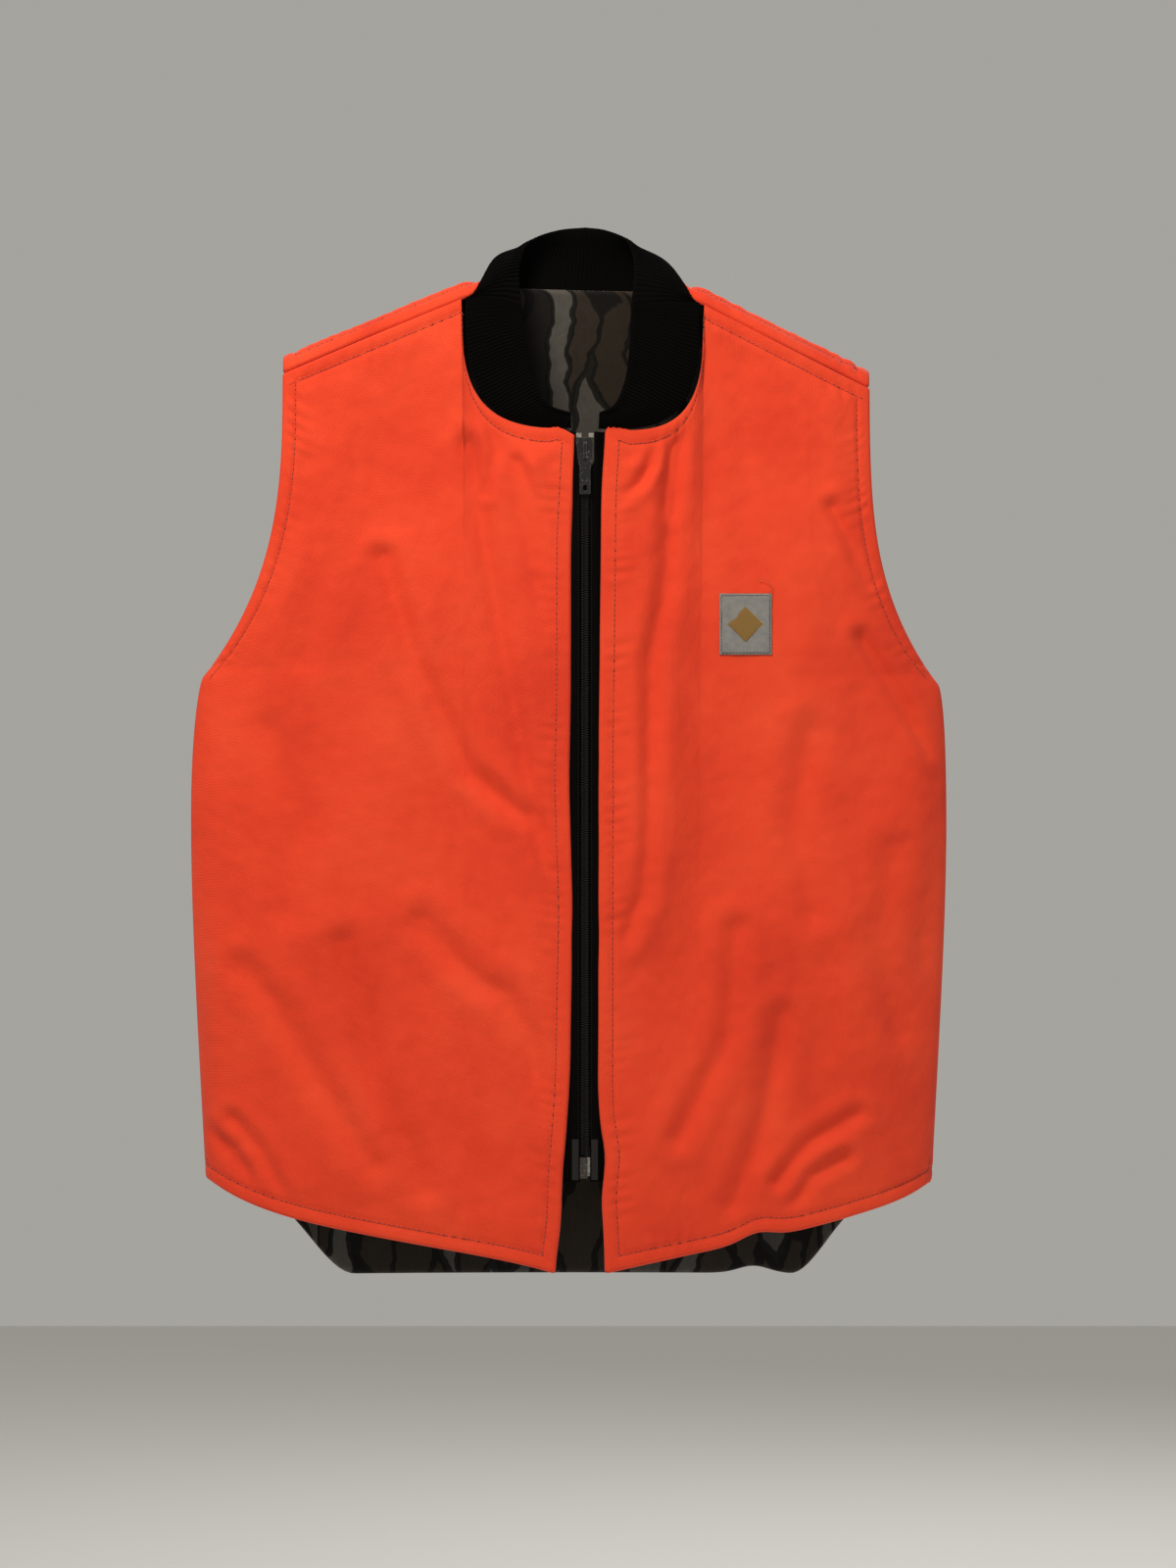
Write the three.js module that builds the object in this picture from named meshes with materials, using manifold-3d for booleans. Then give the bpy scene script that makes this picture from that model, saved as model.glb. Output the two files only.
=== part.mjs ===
// Insulated sleeveless work vest in the shape it takes on a clothes hanger.
// Millimetres. +Z is up, +X is the wearer's left and the chest faces -Y.
// The origin is at neck height on the zipper line, over the shoulder ridge.
import * as THREE from 'three';
import { mergeVertices } from 'three/addons/utils/BufferGeometryUtils.js';
import Module from 'manifold-3d';

// ---- Driving dimensions: outline ----
const SHOULDER_HALF = 198; // centre line to the shoulder tip
const ARMPIT_HALF = 248;
const WAIST_SWELL = 8; // how far the side swells between armpit and hem
const HEM_HALF = 245;
const NECK_HALF = 80;
const SHOULDER_TOP = 3; // height of the shoulder ridge beside the neck
const SHOULDER_FALL = 0.45; // drop of the ridge for each unit of width
const RIDGE_RADIUS = 13; // the cloth rolls over the hanger arm on this radius
const ARMPIT_Z = -266;
const SIDE_HEM_Z = -602;
const FRONT_HEM_Z = -662;
const BACK_HEM_Z = -668;
const FRONT_HEM_RISE = 0.19; // rise of the front hem for each unit of width
const FRONT_HEM_CORNER = 15; // extra rise at the side seam
const TAIL_START = 150; // half width where the drop tail's corner begins
const TAIL_END = 206;
const TAIL_STEP = 48;
const NECK_FRONT_DROP = 87; // shoulder seam to the bottom of the front neckline
const NECK_CROSSING = 30; // the back neckline crosses the ridge over this width
const NECK_CURVE_START = NECK_HALF - NECK_CROSSING;
const NECK_BAND = 40; // height of the cloth below the back neckline, counted as its own rows

// ---- Driving dimensions: depth ----
const FRONT_DEPTH = 52; // shoulder plane to the front at the hem, on the fold line
const FRONT_BELLY = 8; // extra fullness at the zipper
const BACK_DEPTH = 52;
const BACK_NECK_DEPTH = 15; // how far the back neckline sits behind the ridge roll
const ARMHOLE_SLACK = 32; // fullness that holds the armhole open

// ---- Driving dimensions: cloth and zipper ----
const SHELL = 0.9;
const PADDING = 4.2;
const LINING = 0.8;
const GAP = 0.3; // clearance between layers and between neighbouring pieces
const SEAM = GAP / 2; // each panel stops this far short of a seam it shares
const PADDING_INSET = 8; // the padding stops short of the sewn edges
const COLLAR_THICK = 2.5;
const EDGE_X = 9; // zipper centre to the cloth's front edge
const FOLD_BESIDE_NECK = 6;
const FOLD_X = NECK_HALF + FOLD_BESIDE_NECK; // each front swings open about a line at this distance
const TAPE_REACH = 20;
const TAPE_THICK = 0.8;
const TOOTH_PITCH = 6;
const TOOTH_HEIGHT = 2.4;
const TOOTH_REACH = 1.3; // a tooth crosses the centre line by this much
const CORD_IN = 1.9;
const CORD_OUT = 3.3;
const CHAIN_THICK = 2.4;
const ZIP_LENGTH = 499;
const SLIDER_LENGTH = 18;
const SLIDER_HALF = 5.5;
const PLATE = 1;
const STOP_LENGTH = 3;
const BOX_LENGTH = 14;
const TAB_LENGTH = 27;
const TAB_WIDTH = 7;
const PATCH_WIDTH = 35;
const PATCH_HEIGHT = 41;
const PATCH_BESIDE_FOLD = 4;
const PATCH_CENTRE_X = FOLD_X + PATCH_BESIDE_FOLD + PATCH_WIDTH / 2;
const PATCH_CENTRE_Z = -228;

const clamp = THREE.MathUtils.clamp;
const lerp = THREE.MathUtils.lerp;
const smooth = THREE.MathUtils.smoothstep;

const ROLL_SHARE = 0.25; // share of the back's rows that lies on the roll over the shoulder

const BACK_CELLS = { columns: 18, rows: 16 };

// ---- Outline of the vest, for the half with x >= 0 ----

const seamZ = (x) => SHOULDER_TOP - SHOULDER_FALL * (x - NECK_HALF) - RIDGE_RADIUS;
const TIP_Z = seamZ(SHOULDER_HALF);
const NECK_SEAM_Z = seamZ(NECK_HALF);

// Half width of the vest at height z: armhole edge above the armpit, side seam below.
function halfWidth(z) {
  if (z > ARMPIT_Z) {
    const down = clamp((TIP_Z - z) / (TIP_Z - ARMPIT_Z), 0, 1);
    return lerp(SHOULDER_HALF, ARMPIT_HALF, down ** 3.2);
  }
  const down = clamp((ARMPIT_Z - z) / (ARMPIT_Z - SIDE_HEM_Z), 0, 1);
  return lerp(ARMPIT_HALF, HEM_HALF, down) + WAIST_SWELL * Math.sin(Math.PI * down ** 0.6);
}

// Half of the gap between the front and back armhole edges at height z.
function armholeGap(z) {
  const up = clamp((z - ARMPIT_Z) / (TIP_Z - ARMPIT_Z), 0, 1);
  return RIDGE_RADIUS * up + ARMHOLE_SLACK * Math.sqrt(up) * (1 - up);
}

const frontDepth = (z) =>
  lerp(RIDGE_RADIUS, FRONT_DEPTH, (NECK_SEAM_Z - z) / (NECK_SEAM_Z - FRONT_HEM_Z));
const belly = (x) => FRONT_BELLY * (1 - (x / FOLD_X) ** 2);
const frontHem = (x) =>
  FRONT_HEM_Z + FRONT_HEM_RISE * x + FRONT_HEM_CORNER * (x / HEM_HALF) ** 8;

function backHem(x) {
  const corner = TAIL_STEP * smooth(x, TAIL_START, TAIL_END);
  const rest = SIDE_HEM_Z - BACK_HEM_Z - TAIL_STEP;
  return BACK_HEM_Z + corner + rest * clamp((x - 190) / (HEM_HALF - 190), 0, 1);
}

// Front neckline as a quarter of a superellipse, from the zipper (0) to the shoulder seam (1).
const NECK_ROUNDNESS = 0.62;
function neckline(along) {
  const angle = clamp(along, 0, 1) * Math.PI / 2;
  return {
    x: lerp(EDGE_X, NECK_HALF, Math.sin(angle) ** NECK_ROUNDNESS),
    z: NECK_SEAM_Z - NECK_FRONT_DROP * Math.max(0, Math.cos(angle)) ** NECK_ROUNDNESS,
  };
}

// ---- Panels. Each gives the point at (u, v), each 0 to 1, a depth below the outer face. ----

// Horizontal section at height z: an arc of an ellipse that starts at a half width and ends at
// the side seam or armhole edge. Deeper layers keep the same centre, so they never cross.
function sectionPoint(z, angle, fullDepth, depth, inner) {
  const gap = armholeGap(z);
  const openGap = Math.max(gap - depth, 0);
  const half = halfWidth(z) - Math.max(depth - gap, 0);
  return {
    x: inner + (half - inner) * Math.sin(angle),
    y: Math.max(openGap + (fullDepth - depth - openGap) * Math.cos(angle), SEAM),
  };
}

// Outer half of a front: from the fold line to the side seam and armhole.
function sidePanel(edge) {
  return (u, v, depth) => {
    const angle = Math.max(u * Math.PI / 2, SEAM / (SHOULDER_HALF - FOLD_X));
    const across = Math.sin(angle);
    const bottom = frontHem(lerp(FOLD_X, HEM_HALF, across));
    const top = seamZ(lerp(FOLD_X, SHOULDER_HALF, across)) - GAP;
    const z = clamp(lerp(bottom, top, v), bottom + edge, top - edge);
    const at = sectionPoint(z, angle, frontDepth(z), depth, FOLD_X);
    return new THREE.Vector3(at.x, -at.y, z);
  };
}

// Inner half of a front: from the zipper edge to the fold line, under the neckline.
function flapPanel(edge, start) {
  const NECK_SHARE = 0.9; // share of the top edge that is neckline; the rest is shoulder seam
  return (u, v, depth) => {
    const top = neckline(u / NECK_SHARE);
    const last = FOLD_X - SEAM;
    const beyond = clamp((u - NECK_SHARE) / (1 - NECK_SHARE), 0, 1);
    const share = (top.x - EDGE_X) / (NECK_HALF - EDGE_X);
    const topX = lerp(lerp(start, NECK_HALF + edge / 2, share), last, beyond);
    const topZ = top.z - beyond * SHOULDER_FALL * (FOLD_X - NECK_HALF) - edge - GAP;
    const bottomX = lerp(start, last, u);
    const z = lerp(frontHem(bottomX) + edge, topZ, v);
    const x = lerp(bottomX, topX, v ** 3);
    return new THREE.Vector3(x, depth - frontDepth(z) - belly(x), z);
  };
}

// How far the back neckline has crossed the ridge at half width x: 0 behind it, 1 in front.
const crossing = (x) => smooth(Math.abs(x), NECK_CURVE_START, NECK_HALF);

// Where the roll over the shoulder is centred for the column that ends at half width x.
function rollCentre(x) {
  const over = crossing(x);
  return {
    y: BACK_NECK_DEPTH * (1 - over),
    z: seamZ(Math.max(Math.abs(x), NECK_HALF)) * over,
  };
}

// Depth of the back behind the shoulder plane, at height z of a column with its roll centre.
function backDepth(z, centre) {
  const below = centre.z - z;
  const fullness = (BACK_DEPTH - RIDGE_RADIUS) * Math.sin(clamp(below / 290, 0, 1) * Math.PI / 2);
  const hollow = 8 * smooth(-z, 400, 660);
  const neck = centre.y * (1 - clamp(below / 200, 0, 1));
  return RIDGE_RADIUS + fullness - hollow + neck;
}

// Angle of the back's section at u. Columns fall on the neckline's corners, and the rest share
// the turn from the neck to the side seam.
function backAngle(u) {
  const neckAngle = Math.asin(NECK_HALF / SHOULDER_HALF);
  const stations = [0, 0.5, 1].map((share) => Math.asin(share * NECK_CURVE_START / SHOULDER_HALF));
  stations.push((stations[2] + neckAngle) / 2, neckAngle);
  const rest = BACK_CELLS.columns / 2 + 1 - stations.length;
  for (let i = 1; i <= rest; i += 1) stations.push(lerp(neckAngle, Math.PI / 2, i / rest));
  const at = Math.abs(1 - 2 * u) * BACK_CELLS.columns / 2;
  const below = Math.min(Math.floor(at), stations.length - 2);
  return Math.sign(0.5 - u) * lerp(stations[below], stations[below + 1], at - below);
}

// The back is one piece, from side seam to side seam and over the shoulders to their seams.
function backPanel(edge) {
  return (u, v, depth) => {
    const angle = backAngle(u);
    const topX = SHOULDER_HALF * Math.sin(angle);
    const hem = backHem(HEM_HALF * Math.abs(Math.sin(angle)));
    const centre = rollCentre(topX);
    const over = crossing(topX);
    const rollStart = centre.z - NECK_BAND * (1 - over);
    const turn = Math.max(v - 1 + ROLL_SHARE, 0) / ROLL_SHARE;
    const hung = Math.max(lerp(hem, rollStart, Math.min(v / (1 - ROLL_SHARE), 1)), hem + edge);
    const z = turn > 0 ? lerp(rollStart, centre.z, turn) : hung;
    const at = sectionPoint(z, angle, backDepth(z, centre), depth, 0);
    const radius = RIDGE_RADIUS - depth;
    const swing = clamp(turn * Math.PI * over, 0, Math.max(Math.PI * over - GAP / radius, 0));
    const x = at.x;
    return new THREE.Vector3(x, at.y + radius * (Math.cos(swing) - 1), z + radius * Math.sin(swing));
  };
}

// ---- Collar: a ruled rib-knit band between the neck seam and its free edge ----

// The neck seam, from the zipper (0) past the shoulder seam (0.5) to the centre back (1).
function neckSeam(along) {
  const middle = (SHELL + PADDING + LINING) / 2 + GAP;
  if (along <= 0.5) {
    const at = neckline(along * 2);
    return new THREE.Vector3(at.x, middle - frontDepth(at.z) - belly(at.x), at.z);
  }
  const x = NECK_HALF * Math.cos((along - 0.5) * Math.PI);
  const centre = rollCentre(x);
  const swing = Math.PI * crossing(x);
  const radius = RIDGE_RADIUS - middle;
  return new THREE.Vector3(
    x, centre.y + radius * Math.cos(swing), centre.z + radius * Math.sin(swing));
}

const freeEdge = new THREE.CatmullRomCurve3([
  new THREE.Vector3(9.5, -25, -86),
  new THREE.Vector3(22, -24, -80),
  new THREE.Vector3(31, -20, -63),
  new THREE.Vector3(35, -14, -42),
  new THREE.Vector3(37, -6, -14),
  new THREE.Vector3(39, 6, 12),
  new THREE.Vector3(32, 18, 32),
  new THREE.Vector3(15, 24, 41),
  new THREE.Vector3(0, 25, 43),
]);

// The band starts this share of its width inside the seam, and more where it rounds the nape.
const THROAT_START = 0.03;
const NAPE_START = 0.07;
function collarMiddle(along, up, start) {
  const share = lerp(start, 1, up);
  return neckSeam(along).lerp(freeEdge.getPoint(clamp(along, 0, 1)), share);
}

// Front part of the band on the wearer's left.
function collarFront(along, up) {
  return collarMiddle(lerp(0, 0.495, along), up, THROAT_START);
}

// Back part of the band, from the left shoulder round the nape to the right.
function collarBack(along, up) {
  const fromNape = Math.abs(2 * along - 1);
  const point = collarMiddle(1 - 0.495 * fromNape, up, NAPE_START);
  point.x *= along <= 0.5 ? 1 : -1;
  return point;
}

// Turns a ruled band into a panel with thickness, by its numerical normal.
function thickBand(band) {
  const STEP = 1e-3;
  return (u, v, depth) => {
    const here = band(u, v);
    const alongU = band(Math.min(u + STEP, 1), v).sub(band(Math.max(u - STEP, 0), v));
    const alongV = band(u, Math.min(v + STEP, 1)).sub(band(u, Math.max(v - STEP, 0)));
    const outward = alongU.cross(alongV).normalize();
    return here.addScaledVector(outward, COLLAR_THICK / 2 - depth);
  };
}

// ---- Solids ----

// A layer of a panel: a subdivided box whose faces are bent to the panel's shape. A layer that
// stops short of a sewn edge leaves out whole cells there, so its facets stay parallel.
function layer(panel, cells, outerDepth, innerDepth, short = {}) {
  const { left = 0, right = 0, top = 0 } = short;
  const [columns, rows] = [cells.columns - left - right, cells.rows - top];
  const geometry = new THREE.BoxGeometry(1, 1, 1, columns, rows, 1);
  const position = geometry.attributes.position;
  for (let i = 0; i < position.count; i += 1) {
    const depth = position.getZ(i) > 0 ? outerDepth : innerDepth;
    const u = (left + (position.getX(i) + 0.5) * columns) / cells.columns;
    const v = (position.getY(i) + 0.5) * rows / cells.rows;
    const point = panel(u, v, depth);
    position.setXYZ(i, point.x, point.y, point.z);
  }
  matchDiagonals(geometry);
  return geometry;
}

// Splits the cells of the box's last face along the same diagonal as those of the opposite
// face, so that two layers a small gap apart bend alike and don't touch.
function matchDiagonals(geometry) {
  const { start, count } = geometry.groups.at(-1);
  const index = geometry.index;
  for (let i = start; i < start + count; i += 6) {
    const [a, b, d, c] = [0, 1, 2, 4].map((k) => index.getX(i + k));
    [a, b, c, a, c, d].forEach((corner, k) => index.setX(i + k, corner));
  }
}

// The geometry with its shared corners merged, so that only position and index are left.
function merged(geometry) {
  const bare = geometry.clone();
  bare.deleteAttribute('normal');
  bare.deleteAttribute('uv');
  return mergeVertices(bare, 1e-4);
}

// The same solid on the other side of the body, with its faces still pointing out.
function mirrored(geometry) {
  const copy = merged(geometry);
  copy.scale(-1, 1, 1);
  const index = copy.index;
  for (let i = 0; i < index.count; i += 3) {
    const swap = index.getX(i);
    index.setX(i, index.getX(i + 2));
    index.setX(i + 2, swap);
  }
  copy.computeVertexNormals();
  return copy;
}

// An outline drawn in x and z, standing between two values of y.
function plate(points, front, back) {
  const shape = new THREE.Shape(points.map(([x, z]) => new THREE.Vector2(x, z)));
  const geometry = new THREE.ExtrudeGeometry(shape, { depth: back - front, bevelEnabled: false });
  geometry.rotateX(Math.PI / 2);
  geometry.translate(0, back, 0);
  return geometry;
}

// An outline drawn in y and z, centred on x = 0.
function rail(shape, width) {
  const geometry = new THREE.ExtrudeGeometry(shape, { depth: width, bevelEnabled: false });
  geometry.applyMatrix4(new THREE.Matrix4().set(
    0, 0, 1, -width / 2, 1, 0, 0, 0, 0, 1, 0, 0, 0, 0, 0, 1));
  return geometry;
}

function block(x0, x1, y0, y1, z0, z1) {
  const geometry = new THREE.BoxGeometry(x1 - x0, y1 - y0, z1 - z0);
  geometry.translate((x0 + x1) / 2, (y0 + y1) / 2, (z0 + z1) / 2);
  return geometry;
}

const wasm = await Module();
wasm.setup();

function toSolid(geometry) {
  const closed = merged(geometry);
  return new wasm.Manifold(new wasm.Mesh({
    numProp: 3,
    vertProperties: new Float32Array(closed.attributes.position.array),
    triVerts: new Uint32Array(closed.index.array),
  }));
}

function fromSolid(solid) {
  const mesh = solid.getMesh();
  const geometry = new THREE.BufferGeometry();
  geometry.setAttribute('position', new THREE.BufferAttribute(mesh.vertProperties, 3));
  geometry.setIndex(new THREE.BufferAttribute(mesh.triVerts, 1));
  geometry.computeVertexNormals();
  return geometry;
}

function joined(first, ...others) {
  return fromSolid(others.reduce((sum, next) => sum.add(toSolid(next)), toSolid(first)));
}

function cut(base, ...tools) {
  return fromSolid(tools.reduce((rest, tool) => rest.subtract(toSolid(tool)), toSolid(base)));
}

// ---- Materials ----

const cloth = (colour, roughness) =>
  new THREE.MeshStandardMaterial({ color: colour, roughness, metalness: 0 });
const metal = (colour, roughness) =>
  new THREE.MeshStandardMaterial({ color: colour, roughness, metalness: 0.9 });
const ORANGE = cloth(0xe8472b, 0.85);
const WADDING = cloth(0xe6e4dc, 0.95);
const CAMO = cloth(0x6f6a60, 0.85);
const RIB = cloth(0x151413, 0.95);
const TAPE = cloth(0x181615, 0.8);
const COIL = cloth(0x1b1a1a, 0.4);
const ENAMEL = metal(0x1d1c1b, 0.4);
const STEEL = metal(0xb9b7b1, 0.35);
const FILM = cloth(0xd8d4cc, 0.2);
const PATCH = cloth(0x7c7973, 0.8);
const OCHRE = cloth(0xa08a4e, 0.8);

const vest = new THREE.Group();

function add(parent, name, geometry, material) {
  const mesh = new THREE.Mesh(geometry, material);
  mesh.name = name;
  parent.add(mesh);
}

function addPair(parent, name, geometry, material) {
  add(parent, `left_${name}`, geometry, material);
  add(parent, `right_${name}`, mirrored(geometry), material);
}

// ---- Body cloth: shell, padding and lining of the back and of both fronts ----

const paddingTop = SHELL + GAP;
const paddingBottom = paddingTop + PADDING;
const liningTop = paddingBottom + 2 * GAP; // the lining hangs free of the padding
const liningBottom = liningTop + LINING;

add(vest, 'back_shell', layer(backPanel(SEAM), BACK_CELLS, 0, SHELL), ORANGE);
add(vest, 'back_padding', layer(
  backPanel(PADDING_INSET), BACK_CELLS, paddingTop, paddingBottom,
  { left: 1, right: 1, top: 2 }), WADDING);
add(vest, 'back_lining', layer(backPanel(SEAM), BACK_CELLS, liningTop, liningBottom), CAMO);

const SIDE_CELLS = { columns: 6, rows: 14 };
addPair(vest, 'side_shell', layer(sidePanel(SEAM), SIDE_CELLS, 0, SHELL), ORANGE);
addPair(vest, 'side_padding', layer(
  sidePanel(PADDING_INSET), SIDE_CELLS, paddingTop, paddingBottom, { right: 1 }), WADDING);
addPair(vest, 'side_lining', layer(sidePanel(SEAM), SIDE_CELLS, liningTop, liningBottom), CAMO);

const FRONT_CELLS = { columns: 8, rows: 10 };
const paddingStart = TAPE_REACH + 2;
addPair(vest, 'front_shell', layer(flapPanel(SEAM, EDGE_X), FRONT_CELLS, 0, SHELL), ORANGE);
addPair(vest, 'front_padding', layer(
  flapPanel(PADDING_INSET, paddingStart), FRONT_CELLS, paddingTop, paddingBottom), WADDING);
addPair(vest, 'front_lining', layer(
  flapPanel(SEAM, EDGE_X), FRONT_CELLS, liningTop, liningBottom), CAMO);

// ---- Rib-knit collar ----

const NAPE_CELLS = { columns: 16, rows: 3 };
const THROAT_CELLS = { columns: 10, rows: 3 };
add(vest, 'collar_back', layer(thickBand(collarBack), NAPE_CELLS, 0, COLLAR_THICK), RIB);
addPair(vest, 'collar_front', layer(thickBand(collarFront), THROAT_CELLS, 0, COLLAR_THICK), RIB);

// ---- Chest patch on the wearer's left, with its raised emblem ----

// A point of the left front's face at (x, z), a height above the cloth.
function onChest(x, z, height) {
  const angle = Math.asin((x - FOLD_X) / (halfWidth(z) - FOLD_X));
  const at = sectionPoint(z, angle, frontDepth(z), 0, FOLD_X);
  return new THREE.Vector3(x, -at.y - height, z);
}

const PATCH_THICK = 0.8;
const EMBLEM_SIZE = 12;
const EMBLEM_THICK = 0.5;
const patchPanel = (u, v, depth) => onChest(
  PATCH_CENTRE_X + (u - 0.5) * PATCH_WIDTH, PATCH_CENTRE_Z + (v - 0.5) * PATCH_HEIGHT, -depth);
const emblemPanel = (u, v, depth) => onChest(
  PATCH_CENTRE_X + (u - v) * EMBLEM_SIZE, PATCH_CENTRE_Z + (u + v - 1) * EMBLEM_SIZE, -depth);
const patchFace = GAP + PATCH_THICK;
const PATCH_CELLS = { columns: 2, rows: 2 };
const emblemBack = patchFace + GAP;
add(vest, 'chest_patch', layer(patchPanel, PATCH_CELLS, -patchFace, -GAP), PATCH);
add(vest, 'patch_emblem', layer(
  emblemPanel, PATCH_CELLS, -emblemBack - EMBLEM_THICK, -emblemBack), OCHRE);

// ---- Zipper, in a group whose -Z runs down the chain ----

const ZIP_TOP_Z = neckline(0).z - 2;
const ZIP_DEPTH = SHELL + GAP + TAPE_THICK / 2 + 0.4; // chain centre below the cloth's face
const lean = Math.atan((FRONT_DEPTH - RIDGE_RADIUS) / (NECK_SEAM_Z - FRONT_HEM_Z));
const zipper = new THREE.Group();
zipper.position.set(0, ZIP_DEPTH - frontDepth(ZIP_TOP_Z) - belly(0), ZIP_TOP_Z);
zipper.rotation.x = -lean;
vest.add(zipper);

const halfChain = CHAIN_THICK / 2;
const halfTape = TAPE_THICK / 2;
const sliderTop = STOP_LENGTH + 1 + GAP;
const sliderEnd = sliderTop + SLIDER_LENGTH;
const boxStart = ZIP_LENGTH - BOX_LENGTH;
const chainStart = sliderEnd + GAP;
const chainEnd = boxStart - GAP;
const tapeIn = CORD_OUT + GAP;

// Tape with its inner edge stepped back beside the top stop and beside the closed slider.
function tape(besideSlider) {
  return plate([
    [TAPE_REACH, 0],
    [TAPE_REACH, -ZIP_LENGTH - 2],
    [tapeIn, -ZIP_LENGTH - 2],
    [tapeIn, -chainStart],
    [besideSlider, -chainStart],
    [besideSlider, 0],
  ], -halfTape, halfTape);
}

const beside = SLIDER_HALF + 2 * GAP;
add(zipper, 'left_zipper_tape', tape(beside), TAPE);
add(zipper, 'right_zipper_tape', mirrored(tape(beside)), TAPE);

// A toothed cord: a comb-shaped outline, one tooth per pitch, starting at an offset.
function comb(offset) {
  const points = [[CORD_OUT, -chainEnd], [CORD_OUT, -chainStart], [CORD_IN, -chainStart]];
  const count = Math.floor((chainEnd - chainStart - offset - TOOTH_HEIGHT) / TOOTH_PITCH);
  for (let i = 0; i < count; i += 1) {
    const top = -chainStart - offset - i * TOOTH_PITCH;
    points.push([CORD_IN, top], [-TOOTH_REACH, top]);
    points.push([-TOOTH_REACH, top - TOOTH_HEIGHT], [CORD_IN, top - TOOTH_HEIGHT]);
  }
  points.push([CORD_IN, -chainEnd]);
  return plate(points.reverse(), -halfChain, halfChain);
}

add(zipper, 'left_chain', comb(0.5), COIL);
add(zipper, 'right_chain', mirrored(comb(0.5 + TOOTH_PITCH / 2)), COIL);

// Top stops, crimped on each tape edge above the slider.
const stop = block(2.4, beside - GAP, -1.5, 1.5, -1 - STOP_LENGTH, -1);
addPair(zipper, 'top_stop', stop, STEEL);

// Slider: two plates joined by the wedge that parts the chains, with a bail in front.
const plateIn = halfChain + GAP;
const plateOut = plateIn + PLATE;
const SLIDER_TIP_HALF = 4.2;
const sliderOutline = [
  [-SLIDER_HALF + 1.5, -sliderTop],
  [-SLIDER_HALF, -sliderTop - 4],
  [-SLIDER_TIP_HALF, -sliderEnd],
  [SLIDER_TIP_HALF, -sliderEnd],
  [SLIDER_HALF, -sliderTop - 4],
  [SLIDER_HALF - 1.5, -sliderTop],
];
const wedge = plate([
  [0, -sliderTop - 7], [1.3, -sliderTop - 3], [1.3, -sliderTop],
  [-1.3, -sliderTop], [-1.3, -sliderTop - 3],
], -plateIn - 0.1, plateIn + 0.1);
const BAIL_RISE = 3;
const BAIL_WIDTH = 2;
const bailTop = -sliderTop - 3;
const bailEnd = -sliderTop - 14;
const bailShape = new THREE.Shape([
  new THREE.Vector2(-plateOut + 0.2, bailTop),
  new THREE.Vector2(-plateOut - BAIL_RISE + 0.8, bailTop),
  new THREE.Vector2(-plateOut - BAIL_RISE, bailTop - 1.5),
  new THREE.Vector2(-plateOut - BAIL_RISE, bailEnd + 1.5),
  new THREE.Vector2(-plateOut - BAIL_RISE + 0.8, bailEnd),
  new THREE.Vector2(-plateOut + 0.2, bailEnd),
]);
bailShape.holes.push(new THREE.Path([
  new THREE.Vector2(-plateOut - 0.2, bailTop - 1.6),
  new THREE.Vector2(-plateOut - 0.2, bailEnd + 1.6),
  new THREE.Vector2(-plateOut - BAIL_RISE + 1, bailEnd + 1.6),
  new THREE.Vector2(-plateOut - BAIL_RISE + 1, bailTop - 1.6),
]));
add(zipper, 'slider', joined(
  plate(sliderOutline, -plateOut, -plateIn),
  plate(sliderOutline, plateIn, plateOut),
  wedge,
  rail(bailShape, BAIL_WIDTH)), ENAMEL);

// Pull tab: a flat tongue with a window round the bail's lower leg and a hole at its end.
const TAB_THICK = 0.9;
const pivotY = -plateOut - 1.1;
const pivotZ = bailEnd + 2.6;
const window = BAIL_WIDTH / 2 + 2 * GAP;
const tabTop = pivotZ + TAB_THICK / 2;
const tongue = block(
  -TAB_WIDTH / 2, TAB_WIDTH / 2, pivotY - TAB_THICK / 2, pivotY + TAB_THICK / 2,
  tabTop - TAB_LENGTH, tabTop);
const tabWindow = block(
  -window, window, pivotY - TAB_THICK, pivotY + TAB_THICK,
  pivotZ - 6, tabTop - TAB_THICK);
const tabHole = block(
  -1.5, 1.5, pivotY - TAB_THICK, pivotY + TAB_THICK,
  tabTop - TAB_LENGTH + 2, tabTop - TAB_LENGTH + 6);
add(zipper, 'pull_tab', cut(tongue, tabWindow, tabHole), ENAMEL);

// Bottom end: the left tape's pin stands in the right tape's box, whose left side is open.
const PIN_IN = 0.4;
const pinHalf = 0.8;
const floorTop = -ZIP_LENGTH + 1.4;
const pin = block(PIN_IN, tapeIn - GAP, -pinHalf, pinHalf, floorTop + GAP, -boxStart);
add(zipper, 'insertion_pin', pin, STEEL);
const boxWall = 1;
const boxIn = pinHalf + 0.7;
const retainer = cut(
  block(-CORD_OUT, 1.6, -boxIn - boxWall, boxIn + boxWall, -ZIP_LENGTH, -boxStart),
  block(PIN_IN - 2 * GAP, 3, -boxIn, boxIn, floorTop, -boxStart + 1));
add(zipper, 'retainer_box', retainer, STEEL);

// Clear film that stiffens the foot of each tape.
const FILM_THICK = 0.2;
const film = block(
  tapeIn + 0.6, EDGE_X - 0.4, -halfTape - GAP - FILM_THICK, -halfTape - GAP,
  -ZIP_LENGTH - 1, -ZIP_LENGTH + 26);
addPair(zipper, 'tape_film', film, FILM);

export default vest;
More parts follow.
